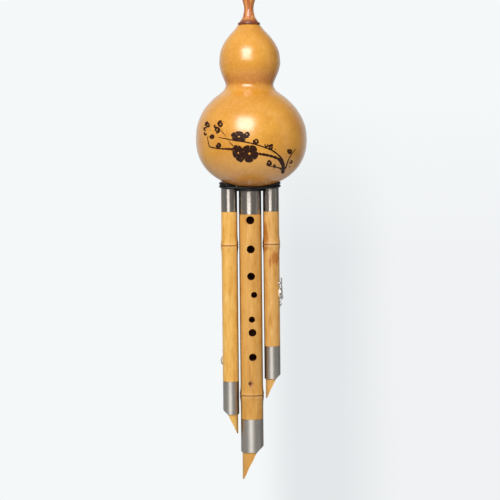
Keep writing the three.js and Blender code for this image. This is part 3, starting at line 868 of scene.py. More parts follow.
@dataclass
class Gourd:
    """Double gourd that makes the wind chamber."""

    stations: tuple[Station, ...] = (
        Station(43.6, 49.9, 1.75), Station(91.0, 21.5, 0.6), Station(112.9, 27.45, 1.0), Station(145.3, 9.9, 0.6),
    )
    shares: tuple[tuple[Level, ...], ...] = (
        ((0.18, 0.025), (0.32, 0.088), (0.47, 0.2), (0.62, 0.37), (0.77, 0.615), (0.84, 0.77), (0.915, 0.924),
         (1, 1)),
        ((0.14, 0.077), (0.31, 0.33), (0.485, 0.6), (0.66, 0.825), (0.83, 0.955), (1, 1)),
        ((0.22, 0.041), (0.33, 0.1), (0.44, 0.19), (0.55, 0.305), (0.66, 0.453), (0.77, 0.632), (0.88, 0.828),
         (1, 1)),
    )
    wall: float = 4.5
    base_fullness: float = 0.445
    base_flat: float = 1.3
    base_steps: int = 20
    tenon_hole: float = 6.3
    lip: float = 0.5
    sides: int = 192
    swell: float = 0.22

    def __post_init__(self) -> None:
        """Takes the base's place from the model and draws the outline."""
        low, high = node_box("gourd_shell")
        self.belly, *_, self.top = self.stations
        self.base = high.z - self.top.height
        self.axis = (low.x + high.x) / 2 - self.belly.lean
        self.outline = self.draw_outline()

    def draw_outline(self) -> list[Level]:
        """Outer outline from the axis at the base to the cut top, as radius and height.

        Returns:
            The outline's points.
        """
        points = []
        for step in range(self.base_steps):
            turn = step / self.base_steps * math.pi / 2
            drop = math.cos(turn) ** (2 * self.base_fullness)
            points.append((self.belly.radius * math.sin(turn), max(self.belly.height * (1 - drop), self.base_flat)))
        knots = [(self.belly.radius, self.belly.height)]
        for shares, start, end in zip(self.shares, self.stations, self.stations[1:]):
            wide, tall = end.radius - start.radius, end.height - start.height
            knots.extend((start.radius + change * wide, start.height + up * tall) for up, change in shares)
        return [*points, *((min(radius, self.belly.radius), height) for radius, height in through(knots, 4))]

    def lean_at(self, height: float) -> float:
        """Finds how far the gourd leans to the right at a height above its base.

        Args:
            height: The height.

        Returns:
            The lean.
        """
        for low, high in zip(self.stations, self.stations[1:]):
            if height <= high.height:
                return low.lean + eased((height - low.height) / (high.height - low.height)) * (high.lean - low.lean)
        return self.top.lean

    def hollow_at(self, turn: float, height: float) -> float:
        """Finds how far the skin lies inside a true round, as a grown gourd's does.

        Args:
            turn: Angle round the axis in radians.
            height: Height above the base.

        Returns:
            The depth.
        """
        wave = math.sin(2 * turn + height / 17) + 0.6 * math.sin(3 * turn - height / 11 + 1.3)
        fade = eased(height / self.belly.height * 1.4 - 0.35) * eased((self.top.height - height) / 12)
        return self.swell * fade * (0.5 + 0.31 * wave)

    def radius_at(self, height: float) -> float:
        """Finds the outer radius at a height above the base.

        Args:
            height: The height.

        Returns:
            The radius.
        """
        for (inner, low), (outer, high) in zip(self.outline, self.outline[1:]):
            if low <= height <= high:
                return inner + (outer - inner) * (height - low) / max(high - low, 1e-9)
        return self.top.radius

    def stood(self, point: Vector, height: float) -> Vector:
        """Point of the model's frame, from one round the axis and the height whose lean it takes."""
        return Vector((self.axis + self.lean_at(height) + point.x, point.y, self.base + point.z))

    def grown(self, point: Vector) -> Vector:
        """Moves a point of a true turned gourd to where it grew, with the skin's small hollows.

        Args:
            point: Point round the upright axis, with its height above the base.

        Returns:
            The point in the model's frame.
        """
        radius = math.hypot(point.x, point.y)
        keep = 1 - self.hollow_at(math.atan2(point.y, point.x), point.z) / radius if radius > 1 else 1.0
        return self.stood(Vector((point.x * keep, point.y * keep, point.z)), point.z)

    def behind(self, across: float, up: float) -> Level:
        """Finds the place on the belly's front that the camera sees behind a point of the middle plane.

        Args:
            across: The point's distance to the right of the belly's axis.
            up: Its height above the belly's widest level.

        Returns:
            The place, measured like the point.
        """
        eye_across = EYE.x - self.axis - self.belly.lean
        eye_up = EYE.z - self.base - self.belly.height
        place = (across, up)
        for _ in range(3):
            radius = self.radius_at(self.belly.height + place[1])
            share = 1 - math.sqrt(max(radius**2 - place[0] ** 2, 0.0)) / -EYE.y
            place = (eye_across + (across - eye_across) * share, eye_up + (up - eye_up) * share)
        return place

    def on_skin(self, across: float, height: float, rise: float) -> Vector:
        """Finds the point on the front of the skin that lies straight behind a point of a front view.

        Args:
            across: Distance to the right of the gourd's axis there.
            height: Height above the base.
            rise: Distance out from the skin.

        Returns:
            The point in the model's frame.
        """
        radius = self.radius_at(height)
        for _ in range(3):
            turn = math.atan2(-math.sqrt(max(radius**2 - across**2, 0.01)), across)
            radius = self.radius_at(height) - self.hollow_at(turn, height)
        slope = self.radius_at(height + 0.5) - self.radius_at(height - 0.5)
        normal = Vector((math.cos(turn), math.sin(turn), -slope)).normalized()
        skin = Vector((radius * math.cos(turn), radius * math.sin(turn), height))
        return self.stood(skin + rise * normal, height)

    def solid(self) -> Form:
        """Whole outer form without its hollow, a little low, which pipe tops are cut to."""
        form = turned([*self.outline, (0, self.top.height)], 96)
        return form.bent(lambda point: self.stood(point, point.z) - Vector((0, 0, FIT_GAP)))

    def shell(self) -> Form:
        """Hollow shell, open for the mouthpiece.

        Returns:
            The shell in the model's frame.
        """
        inner = [(0, self.outline[0][1] + self.wall)]
        for (radius, height), (out, up) in zip(self.outline[1:], beside(self.outline)[1:]):
            place = (radius + out * self.wall, height + up * self.wall)
            if place[0] > self.tenon_hole and place[1] < self.top.height - self.wall:
                inner.append(place)
        rim = [
            (self.top.radius - self.lip * 0.3, self.top.height - self.lip * 0.3),
            (self.top.radius - self.lip, self.top.height),
            (self.tenon_hole, self.top.height),
        ]
        return turned([*self.outline[:-1], *rim, *reversed(inner)], self.sides).bent(self.grown)

    def build(self, pipes: Sequence["Pipe"]) -> None:
        """Makes the gourd with a hole for each reed tube.

        Args:
            pipes: The pipes whose reed tubes stand in the gourd.
        """
        low, high = self.base - OVERRUN, self.base + self.belly.height
        holes = [bar(pipe.bore, low, high, 48).moved(pipe.at_axis) for pipe in pipes]
        mesh = combined(self.shell(), holes)
        show("gourd", mesh, [GourdFinish()], nodes=["gourd_shell"], crease=40)
        dress("wax_bed", WAX)


@dataclass
class PlumBranch:
    """Plum branch in blossom, burnt into the front of the gourd's belly.

    Places are millimetres to the right of the belly's axis and above its widest level. A stem has knots of place
    and width. A blossom has its place, radius, turn in degrees and how far it is seen from the side. A bud or
    curl has its place, radius and starting angle, a dot its place and radius.
    """

    gourd: Gourd
    rise: float = 0.14
    root: float = 0.15
    boldness: float = 1.45
    petals: int = 5
    petal_gap: float = 0.3
    bud_stroke: Level = (1.35, 1.3)
    curl_stroke: Level = (0.8, 0.95)
    stems: tuple[tuple[Triple, ...], ...] = (
        ((27.4, -31.2, 1.7), (28.4, -26.4, 2.3), (27.0, -20.8, 2.1), (23.6, -17.7, 1.7), (17.6, -15.4, 1.4),
         (11.4, -14.0, 1.5), (5.4, -13.1, 1.2)),
        ((28.8, -25.6, 1.4), (27.9, -19.6, 1.2), (23.9, -14.3, 1.0), (18.4, -10.3, 0.85), (12.0, -7.6, 0.8),
         (5.6, -5.4, 0.75), (-3.2, -3.0, 0.85), (-10.6, -1.7, 0.85), (-17.0, -0.8, 0.65), (-23.0, 0.6, 0.6),
         (-29.6, 1.8, 0.3)),
        ((-16.6, -9.0, 1.5), (-21.0, -8.6, 1.2), (-26.0, -8.4, 0.9), (-31.4, -7.9, 0.7), (-37.2, -6.4, 0.7),
         (-38.4, -3.4, 0.5), (-39.2, 1.4, 0.4), (-38.5, 3.0, 0.25)),
        ((-27.8, 9.2, 0.25), (-25.2, 5.6, 0.35), (-22.6, 2.5, 0.25)),
        ((-20.2, -1.8, 0.25), (-18.6, -3.6, 0.4), (-16.4, -5.9, 0.5)),
        ((27.2, -29.2, 1.2), (30.6, -25.6, 0.8), (32.4, -20.4, 0.6), (34.6, -16.0, 0.5), (37.2, -12.4, 0.4),
         (39.6, -9.4, 0.25)),
        ((26.6, -27.4, 1.0), (24.4, -26.0, 0.7), (20.4, -25.0, 0.6), (15.8, -24.2, 0.4)),
        ((-37.6, 2.0, 0.3), (-35.8, 4.6, 0.25)),
    )
    blossoms: tuple[tuple[float, ...], ...] = (
        (-1.9, -12.9, 8.4, 34.0, 0.94), (-11.9, -12.3, 7.6, 106.0, 0.68), (-11.1, 2.4, 7.4, -8.0, 0.66),
    )
    buds: tuple[tuple[float, ...], ...] = (
        (-4.0, 4.1, 2.5, 200), (4.2, -1.9, 2.6, 150), (-27.2, 13.8, 2.7, 60), (-30.6, 8.6, 2.7, 250),
        (-38.7, 13.4, 2.3, 80), (-35.4, 2.2, 1.8, 300), (-29.6, -5.2, 2.3, 180), (34.4, -11.2, 2.1, 120),
        (15.6, -21.4, 2.5, 190), (17.6, -7.4, 2.2, 30), (-9.6, -17.4, 2.6, 200),
    )
    curls: tuple[tuple[float, ...], ...] = (
        (13.8, -5.4, 2.1, 160), (35.2, -20.2, 1.9, 200), (-41.0, 9.0, 1.9, 40), (-40.8, 5.2, 1.5, 120),
        (20.0, -24.2, 1.6, 250), (-31.6, 11.6, 1.6, 100),
    )
    dots: tuple[Triple, ...] = (
        (34.0, -25.1, 0.6), (21.4, -9.4, 0.5), (-41.8, 12.6, 0.35), (-36.6, 8.4, 0.4), (-24.4, 15.6, 0.35),
        (-0.2, 6.4, 0.4), (-43.0, 10.8, 0.35),
    )

    def laid(self, across: float, up: float, level: float) -> Vector:
        """Point at a level over the skin, where the camera sees a point of the drawing."""
        place = self.gourd.behind(across, up)
        return self.gourd.on_skin(place[0], self.gourd.belly.height + place[1], level)

    def inlay(self, outline: Sequence[Level], middle: Level) -> Form:
        """Makes a thin patch, sunk a little into the skin.

        Args:
            outline: Points of its edge, anticlockwise.
            middle: Point that its edge is seen from.

        Returns:
            The patch.
        """
        count = len(outline)
        lower = count + 1
        form = Form([self.laid(*point, level) for level in (self.rise, -self.root) for point in (*outline, middle)])
        for index in range(count):
            after = (index + 1) % count
            form.faces.append((index, after, count))
            form.faces.append((lower + after, lower + index, lower + count))
            form.faces.append((lower + index, lower + after, after, index))
        return form

    def stem(self, knots: Sequence[Triple]) -> Form:
        """Makes a tapering stroke.

        Args:
            knots: Points across and up, each with the stroke's width there.

        Returns:
            The stroke.
        """
        line = through(knots, 8)
        rings = []
        for (across, up, width), (out, rise) in zip(line, beside(line)):
            ragged = 1 + 0.16 * math.sin(2.3 * across + 1.7 * up) * min(width, 1.5)
            half = self.boldness * width * ragged / 2
            corners = ((1, self.rise), (-1, self.rise), (-1, -self.root), (1, -self.root))
            rings.append([self.laid(across + out * s * half, up + rise * s * half, level) for s, level in corners])
        return lofted(rings)

    def blossom(self, across: float, up: float, size: float, tilt: float, squash: float) -> list[Form]:
        """Makes round petals that meet round a small open middle.

        Args:
            across: The flower's distance to the right.
            up: Its height.
            size: Its radius.
            tilt: Its turn in degrees.
            squash: How far it is seen from the side.

        Returns:
            The petals.
        """
        spin = complex(math.cos(math.radians(tilt)), math.sin(math.radians(tilt)))

        def seen(out: float, turn: float) -> Level:
            """Point of the flower at a distance and angle from its middle."""
            point = complex(out * math.cos(turn), out * math.sin(turn) * squash) * spin
            return across + point.real, up + point.imag

        half = math.pi / self.petals
        inner, throat = size * 0.45, size * 0.13
        patches = []
        for middle in (FULL_TURN * petal / self.petals + math.pi / 2 for petal in range(self.petals)):
            edge = []
            for swing in (step / 10 - 1 for step in range(21)):
                out = size * (0.82 + 0.18 * math.cos(swing * math.pi / 2) ** 0.5)
                edge.append(seen(out, middle + swing * (half - self.petal_gap / 2 / out)))
            inwards = ((inner, 0.995), (throat, 0.995), (throat, 0), (throat, -0.995), (inner, -0.995))
            edge.extend(seen(out, middle + turn * half) for out, turn in inwards)
            patches.append(self.inlay(edge, seen(size * 0.55, middle)))
        return patches

    def curl(self, place: Sequence[float], winds: float, width: float) -> Form:
        """Makes a stroke that winds inwards, as a brushed bud does.

        Args:
            place: Place across and up, radius, and angle in degrees where it starts.
            winds: Turns that it makes.
            width: Greatest width of the stroke.

        Returns:
            The stroke.
        """
        across, up, size, start = place
        knots = []
        count = round(winds * 10)
        for way in (step / count for step in range(count + 1)):
            turn = math.radians(start) + way * winds * FULL_TURN
            out = size * (1 - 0.72 * way)
            bold = width * (0.45 + 0.55 * math.sin(math.pi * min(1, 0.15 + way)))
            knots.append((across + 0.86 * out * math.cos(turn), up + out * math.sin(turn), bold))
        return self.stem(knots)

    def build(self) -> None:
        """Lays the drawing on the gourd."""
        petals = [patch for place in self.blossoms for patch in self.blossom(*place)]
        buds = [self.curl(place, *self.bud_stroke) for place in self.buds]
        buds += [self.curl(place, *self.curl_stroke) for place in self.curls]
        buds += [self.inlay(arc(spot, (size, size), range(0, 360, 30)), spot) for *spot, size in self.dots]
        stems = [self.stem(knots) for knots in self.stems]
        for name, forms in (("plum_stems", stems), ("plum_blossoms", petals), ("plum_buds", buds)):
            show(name, joined(forms), [BurntFinish()], crease=60)


@dataclass
class Mouthpiece:
    """Turned rosewood mouthpiece on the gourd's top."""

    height: float = 35.0
    flange_radius: float = 10.0
    waist_radius: float = 4.25
    bulb_radius: float = 6.8
    tip_radius: float = 3.6
    bore_radius: float = 2.0
    tenon_radius: float = 6.0
    tenon_length: float = 12.0
    disc: float = 1.9
    disc_edge: float = 0.5
    seal: float = 0.25
    lip: float = 0.4
    shares: tuple[tuple[Level, ...], ...] = (
        ((0.052, 0.25), (0.084, 0.344), (0.134, 0.541), (0.2, 0.77), (0.266, 0.877), (0.331, 0.972), (0.397, 1)),
        ((0.463, 0.059), (0.529, 0.241), (0.594, 0.483), (0.66, 0.759), (0.769, 1)),
        ((0.869, 0.09), (0.954, 0.47)),
    )

    def build(self) -> None:
        """Makes the mouthpiece."""
        radii = (self.flange_radius, self.waist_radius, self.bulb_radius, self.tip_radius)
        knots = []
        for shares, start, end in zip(self.shares, radii, radii[1:]):
            knots.extend((start + change * (end - start), up * self.height) for up, change in shares)
        edge = self.disc_edge
        profile = [
            (self.bore_radius, -self.tenon_length),
            (self.tenon_radius - self.lip, -self.tenon_length),
            (self.tenon_radius, self.lip - self.tenon_length),
            (self.tenon_radius, -self.seal),
            *arc((self.flange_radius - edge, edge - self.seal), (edge, edge), range(-90, 1, 15)),
            *arc((self.flange_radius - edge, self.disc - edge), (edge, edge), range(0, 91, 15)),
            *through([*knots, (self.tip_radius, self.height - self.lip)], 4),
            (self.tip_radius - self.lip, self.height),
            (self.bore_radius, self.height),
            (self.bore_radius, -self.tenon_length),
        ]
        shape = turned(profile, 96).moved(shift(0, 0, -self.height))
        rim = RosewoodFinish("dark_rosewood", srgb(168, 84, 26), srgb(96, 42, 14), srgb(120, 56, 16))
        show(
            "turned_mouthpiece", shape, [RosewoodFinish(), rim], nodes=["mouthpiece"],
            pick=lambda centre, normal: int(centre.z < self.disc - self.height + 0.02),
        )


@dataclass
class Pipe:
    """Bamboo pipe with its two steel sleeves."""

    gourd: Gourd
    name: str
    side: Side
    bore: float
    nib_length: float
    ridge_depth: float
    tones: tuple[Colour, Colour, Colour]
    painted_shade_sides: tuple[int, ...]
    stains: tuple[tuple[Level, Level], ...] = ()
    fuller: float = 0.3
    sleeve_wall: float = 0.8
    sleeve_bevel: float = 0.15
    bamboo_bevel: float = 0.12
    swell_rise: float = 0.9
    swell_reach: float = 4.4
    groove_depth: float = 0.3
    groove_reach: float = 0.5
    ridge_reach: float = 12.0
    ridge_steps: int = 26
    sides: int = 96
    nib_shares: tuple[Level, ...] = (
        (0, 0), (0.31, 0.178), (0.53, 0.45), (0.685, 0.63), (0.785, 0.785), (0.87, 0.907), (0.94, 1),
    )
    sleeve_rise: float = 7.0
    painted_shade_start: float = 0.88
    scar_level: float = math.inf
    scar_reach: float = 0.0
    cutters: list[Form] = field(default_factory=list)

    def __post_init__(self) -> None:
        """Takes the pipe's place from the model."""
        sleeve_low, sleeve_high = node_box(f"{self.name}_upper_ferrule")
        pipe_low, pipe_high = node_box(f"{self.name}_pipe")
        lower_low, lower_high = node_box(f"{self.name}_lower_ferrule")
        self.axis = (sleeve_low.x + sleeve_high.x) / 2
        self.at_axis = shift(self.axis, 0, 0)
        self.radius = (sleeve_high.x - sleeve_low.x) / 2 + self.fuller
        self.rebate = self.radius - self.sleeve_wall - FIT_GAP
        self.top, self.bottom = pipe_high.z, pipe_low.z
        self.upper_edge = sleeve_low.z - CLOSE_GAP
        self.lower_edge = lower_high.z + CLOSE_GAP
        self.lower_end = lower_low.z
        self.cut_start = self.bottom + self.nib_length
        self.ridge = node_box("gourd_shell")[0].z - self.ridge_depth

    def skin_radius(self, height: float) -> float:
        """Finds the radius of the skin, which swells by its node and dips in a thin line on it.

        Args:
            height: Height in the model's frame.

        Returns:
            The radius.
        """
        away = abs(height - self.ridge)
        swell = self.swell_rise * math.exp(-((away / self.swell_reach) ** 1.5))
        groove = (self.groove_depth + self.swell_rise * 0.35) * math.exp(-((away / self.groove_reach) ** 2))
        return self.radius + swell - groove

    def nib_cutter(self) -> Form:
        """Form that takes away the open side of the quill end.

        Returns:
            The form.
        """
        across = self.radius + self.rebate
        side = self.side.value
        knots = [
            (side * (self.radius - over * across), self.cut_start - down * self.nib_length)
            for over, down in self.nib_shares
        ]
        curve = through(knots, 5)
        beyond, below = side * (self.radius + OVERRUN), self.bottom - OVERRUN
        outline = [(beyond, self.cut_start), *curve, (curve[-1][0], below), (beyond, below)]
        return pushed(outline[::side], 2 * (self.radius + OVERRUN)).moved(self.at_axis)

    def bamboo(self) -> Form:
        """Bamboo tube before it is cut, with levels close together at its node.

        Returns:
            The tube.
        """
        bevel = self.bamboo_bevel
        offs = [self.ridge_reach * (step / self.ridge_steps) ** 2 for step in range(self.ridge_steps + 1)]
        high = self.upper_edge - bevel
        fine = sorted({self.ridge + sign * off for sign in (-1, 1) for off in offs})
        levels = [self.lower_edge + bevel, *(level for level in fine if level < high - 0.1), high]
        profile = [
            (self.bore, self.bottom),
            (self.rebate, self.bottom),
            (self.rebate, self.lower_edge),
            (self.radius - bevel, self.lower_edge),
            *((self.skin_radius(level), level) for level in levels),
            (self.radius - bevel, self.upper_edge),
            (self.rebate, self.upper_edge),
            (self.rebate, self.top),
            (self.bore, self.top),
            (self.bore, self.bottom),
        ]
        return turned(profile, self.sides).moved(self.at_axis)

    def sleeve(self, low: float, high: float) -> Form:
        """Makes a steel sleeve between two levels, with small bevels outside.

        Args:
            low: Level of its lower end.
            high: Level of its upper end.

        Returns:
            The sleeve.
        """
        inner, outer, bevel = self.rebate + FIT_GAP, self.radius, self.sleeve_bevel
        profile = [
            (inner, low), (outer - bevel, low), (outer, low + bevel), (outer, high - bevel),
            (outer - bevel, high), (inner, high), (inner, low),
        ]
        return turned(profile, self.sides).moved(self.at_axis)

    def pick_finish(self, centre: Vector, normal: Vector) -> int:
        """Chooses a face's finish.

        Args:
            centre: The face's centre.
            normal: The face's normal.

        Returns:
            Index of the finish.
        """
        out = math.hypot(centre.x - self.axis, centre.y)
        if out < self.bore + 0.05:
            return BambooFace.BORE
        outwards = normal.x * (centre.x - self.axis) + normal.y * centre.y
        if out > self.rebate - 0.6 and outwards > 0.5 * out:
            dished = out < self.radius - 0.04 and abs(centre.z - self.scar_level) < self.scar_reach
            return BambooFace.SCAR if dished and centre.y < 0 else BambooFace.SKIN
        return BambooFace.CUT if centre.z < self.cut_start + 0.1 or abs(normal.z) > 0.9 else BambooFace.BORE

    def build(self) -> None:
        """Makes the pipe and its sleeves."""
        seat, nib = self.gourd.solid(), self.nib_cutter()
        # Painted shade on the bamboo's and the sleeves' sides that face a neighbouring pipe.
        painted_shade_spans = tuple(
            (self.axis + side * self.radius * self.painted_shade_start, self.axis + side * self.radius)
            for side in self.painted_shade_sides
        )
        stains = []
        for (across, up), (wide, tall) in self.stains:
            middle = (self.axis + across, -math.sqrt(self.radius**2 - across**2), self.ridge + up)
            stains.append((middle, (wide, self.radius / 2, tall)))
        skin = BambooFinish(f"{self.name}_bamboo", *self.tones, self.ridge, painted_shade_spans, tuple(stains))
        show(
            f"{self.name}_bamboo", combined(self.bamboo(), [seat, nib, *self.cutters]),
            [skin, RAW_BAMBOO, BORE, BUD_SCAR],
            nodes=[f"{self.name}_pipe"], pick=self.pick_finish, crease=30,
        )
        for place, metal, low, high, cutter in (
            ("upper", POLISHED, self.upper_edge + CLOSE_GAP, self.gourd.base + self.sleeve_rise, seat),
            ("lower", SATIN, self.lower_end, self.lower_edge - CLOSE_GAP, nib),
        ):
            finish = replace(metal, name=f"{self.name}_{metal.name}", painted_shade_spans=painted_shade_spans)
            mesh = combined(self.sleeve(low, high), [cutter])
            show(f"{self.name}_{place}_sleeve", mesh, [finish], nodes=[f"{self.name}_{place}_ferrule"])
        for part, finish in (("reed_tube", BRASS), ("reed", REED_BRASS), ("reed_stopper", CORK)):
            dress(f"{self.name}_{part}", finish)


@dataclass
class FingerHoles:
    """Finger and thumb holes of the melody pipe, and the scar of a bud.

    A hole has its distance down as a share of the pipe, and its place across and radius as shares of the radius.
    """

    pipe: Pipe
    front: tuple[Triple, ...] = (
        (0.1103, 0, 0.365), (0.2091, 0.02, 0.355), (0.3015, 0.03, 0.345), (0.3646, 0.284, 0.274),
        (0.449, 0.061, 0.279), (0.4939, 0.1, 0.345), (0.578, 0.11, 0.34),
    )
    back: tuple[Triple, ...] = ((0.16, 0, 0.33), (0.41, 0, 0.3))
    scar_across: float = -1.5
    scar_above_end: float = 87.0
    scar_radius: float = 3.3
    scar_depth: float = 0.6
    core_radius: float = 1.5
    core_depth: float = 2.2

    def drill(self) -> None:
        """Adds the holes and the scar to the pipe's cutters."""
        pipe, base = self.pipe, self.pipe.gourd.base
        for shares, turn in ((self.front, LAID_OVER), (self.back, LAID_OVER.inverted())):
            for down, across, width in shares:
                place = shift(pipe.axis + across * pipe.radius, 0, base - down * (base - pipe.bottom))
                drill = bar(width * pipe.radius, 0, pipe.radius + OVERRUN, 48)
                pipe.cutters.append(drill.moved(place @ turn))
        pipe.scar_level, pipe.scar_reach = pipe.bottom + self.scar_above_end, self.scar_radius
        out = math.sqrt(pipe.radius**2 - self.scar_across**2)
        dish = self.scar_radius**2 / (2 * self.scar_depth)
        ball = turned([(0, -dish), *arc((0, 0), (dish, dish), range(-87, 88, 3)), (0, dish)], 64)
        core = bar(self.core_radius, out - self.core_depth, out + OVERRUN, 16)
        for form, back in ((ball, self.scar_depth - out - dish), (core, 0)):
            place = shift(pipe.axis + self.scar_across, back, pipe.scar_level)
            pipe.cutters.append(form.moved(place @ LAID_OVER))


@dataclass
class DroneKey:
    """See-saw key of a drone: a sprung pad cup, a touch and a pin between two posts."""

    name: str
    body: Body
    pipe: Pipe
    front_side: int
    seat_depth: float = 0.7
    seat_height: float = 10.0
    hole_radius: float = 2.3
    pad_radius: float = 4.7
    pad_thickness: float = 1.6
    cup_wall: float = 0.4
    cup_lip: float = 0.4
    cup_back: float = 0.8
    cup_dome: float = 0.6
    pivot_out: float = 1.3
    pivot_above: float = 9.2
    pin_radius: float = 0.5
    hub_radius: float = 1.0
    hub_length: float = 2.8
    arm_width: float = 2.6
    arm_thickness: float = 0.8
    touch_length: float = 4.8
    touch_width: float = 4.6
    touch_thickness: float = 0.7
    head_radius: float = 0.95
    neck_radius: float = 0.75
    collar_radius: float = 1.0
    collar: float = 0.3
    collar_edge: float = 0.08
    stud_radius: float = 0.6
    stud_depth: float = 1.7
    spring_width: float = 2.2
    spring_thickness: float = 0.3
    spring_foot: float = 4.2
    screw_head_radius: float = 1.3
    screw_head: float = 1.1
    screw_rim: float = 0.35
    screw_slot: float = 0.4
    slot_depth: float = 0.5
    screw_below: float = 9.9
    spring_shares: tuple[Level, ...] = ((0, 0), (0.12, 0.15), (0.85, 0.5), (1, 0.75), (1, 1))
    fine_edge: float = 0.12
    pad_edge: float = 0.3
    drill_reach: float = 12.0

    def __post_init__(self) -> None:
        """Works out the key's levels, out from the pipe's axis, and where it stands."""
        radius = self.pipe.radius
        joint = next(each for each in frame["joints"] if each["child"] == self.body.value)
        hinge = Vector(joint["pos_m"]) / METRES_PER_MM
        self.turn = Matrix.Rotation(math.atan2(hinge.y, hinge.x - self.pipe.axis), 4, "Z")
        self.place = shift(self.pipe.axis, 0, hinge.z - self.pivot_above)
        self.at_pad = self.place @ self.turn
        self.seat = radius - self.seat_depth
        self.pad_face = self.seat + FIT_GAP
        self.pad_back = self.pad_face + self.pad_thickness
        self.cup_radius = self.pad_radius + CLOSE_GAP + self.cup_wall
        self.cup_inner = self.pad_back + CLOSE_GAP
        self.cup_outer = self.cup_inner + self.cup_back
        self.pivot = radius + self.pivot_out
        self.at_pin = shift(self.pivot, 0, self.pivot_above) @ LAID_OVER
        self.at_screw = shift(0, 0, -self.screw_below) @ LAID_OUT
        self.post_spread = self.hub_length / 2 + CLOSE_GAP + self.head_radius
        self.stud_end = math.sqrt(radius**2 - self.post_spread**2) - self.stud_depth
        self.spring_face = radius + FIT_GAP + self.spring_thickness / 2

    def drill(self) -> None:
        """Adds the key's flat seat and holes to the pipe's cutters."""
        reach = self.pipe.radius + OVERRUN
        stud = self.stud_radius + CLOSE_GAP
        forms = [
            block((self.seat, -reach, -self.seat_height / 2), (reach, reach, self.seat_height / 2)),
            bar(self.hole_radius, 0, reach).moved(LAID_OUT),
        ]
        for side in (-1, 1):
            hole = bar(stud, self.stud_end - FIT_GAP, reach, 16)
            forms.append(hole.moved(shift(0, side * self.post_spread, self.pivot_above) @ LAID_OUT))
        forms.append(bar(stud, self.pipe.radius - self.stud_depth - FIT_GAP, reach, 16).moved(self.at_screw))
        self.pipe.cutters.extend(form.moved(self.at_pad) for form in forms)

    def post(self) -> Form:
        """Turned post with a stud and a round head.

        Returns:
            The post.
        """
        low, edge, head = self.pipe.radius - self.collar / 2, self.collar_edge, self.head_radius
        start = math.degrees(math.asin(self.neck_radius / head)) - 90
        ball = arc((0, self.pivot), (head, head), [start + (90 - start) * step / 12 for step in range(12)])
        profile = [
            (0, self.stud_end),
            (self.stud_radius, self.stud_end),
            (self.stud_radius, low),
            (self.collar_radius - edge, low),
            (self.collar_radius, low + edge),
            (self.collar_radius, low + self.collar - edge),
            (self.collar_radius - edge, low + self.collar),
            (self.neck_radius, low + self.collar),
            *ball,
            (0, self.pivot + head),
        ]
        return turned(profile, 24).moved(LAID_OUT)

    def pin_bore(self, reach: float) -> Form:
        """Bar to both sides along the pin's axis, used to drill for it."""
        return bar(self.pin_radius + CLOSE_GAP, -reach, reach, 16).moved(self.at_pin)

    def cup(self) -> Form:
        """Shallow cup that holds the pad, domed outside.

        Returns:
            The cup.
        """
        inner, outer = self.cup_radius - self.cup_wall, self.cup_radius
        lip, dome = self.pad_back - self.cup_lip, self.cup_dome
        profile = [
            (0, self.cup_inner), (inner, self.cup_inner), (inner, lip), (outer, lip),
            *arc((outer - dome, self.cup_outer - self.cup_back / 2), (dome, self.cup_back / 2), range(0, 91, 15)),
            *(((outer - dome) * (1 - step / 8), self.cup_outer + dome * eased(step / 8)) for step in range(1, 8)),
            (0, self.cup_outer + dome),
        ]
        return turned(profile, 48).moved(LAID_OUT)

    def lever(self) -> bpy.types.Mesh:
        """Cup, arm, hub and touch in one piece.

        Returns:
            The lever's mesh in metres.
        """
        arm_route = [(self.cup_outer, 0), (self.cup_outer, self.cup_radius), (self.pivot, self.pivot_above)]
        arm = pushed(strip(arm_route, self.arm_thickness), self.arm_width)
        half = self.hub_length / 2
        hub = softened(self.hub_radius, -half, half, self.fine_edge, 24).moved(self.at_pin)
        low = (self.pivot - 3, self.pivot_above - OVERRUN)
        high = (self.pivot + OVERRUN, self.pivot_above + self.head_radius + FIT_GAP)
        cheeks = []
        for side in (-1, 1):
            near, far = sorted((side * (half - CLOSE_GAP), side * self.touch_width))
            cheeks.append(block((low[0], near, low[1]), (high[0], far, high[1])))
        whole = combined(self.cup(), [arm, hub, self.touch()], Work.JOIN)
        points = [vertex.co / METRES_PER_MM for vertex in whole.vertices]
        solid = Form(points, [tuple(face.vertices) for face in whole.polygons])
        bpy.data.meshes.remove(whole)
        cut = combined(solid, [*cheeks, self.pin_bore(self.hub_length)])
        cut.transform(Matrix.Translation(self.place.translation * METRES_PER_MM) @ self.turn)
        return cut

    def touch(self) -> Form:
        """Oval touch that curves gently away from the pipe.

        Returns:
            The touch.
        """
        thick = self.touch_thickness / 2
        section = ((-1, 0), (-0.9, -1), (0.9, -1), (1, 0), (0.9, 1), (-0.9, 1))
        rings = []
        for way in (step / 14 for step in range(15)):
            up = self.pivot_above + way * self.touch_length
            out = self.pivot + (self.hub_radius - thick) * math.sin(math.pi * min(way, 0.75) / 1.5)
            out -= self.hub_radius * 0.5 * eased((way - 0.6) / 0.4)
            rounding = math.sqrt(max(1 - (2 * max(way - 0.5, 0)) ** 4, 0.05))
            half = self.touch_width / 2 * rounding * (0.8 + 0.2 * eased(way * 2.5))
            rings.append([Vector((out + lift * thick, across * half, up)) for across, lift in section])
        inside_out = lofted(rings)
        return Form(inside_out.points, [(face[0], *reversed(face[1:])) for face in inside_out.faces])

    def spring(self) -> tuple[Form, Vector, Vector]:
        """Flat spring, with the points where it starts and stops bending.

        Returns:
            The spring's form and the two points in the model's frame.
        """
        foot_low, foot_high = (-self.screw_below + sign * self.spring_foot / 2 for sign in (-1, 1))
        crest = self.cup_outer + self.cup_dome + FIT_GAP
        tip = -self.pad_radius / 2
        knots = [
            (self.spring_face + out * (crest - self.spring_face), foot_high + up * (tip - foot_high))
            for out, up in self.spring_shares
        ]
        route = [(self.spring_face, foot_low), (self.spring_face, -self.screw_below), *through(knots, 5)]
        form = pushed(strip(route, self.spring_thickness), self.spring_width)
        return form, self.at_pad @ Vector((self.spring_face, 0, foot_high)), self.at_pad @ Vector((crest, 0, tip))

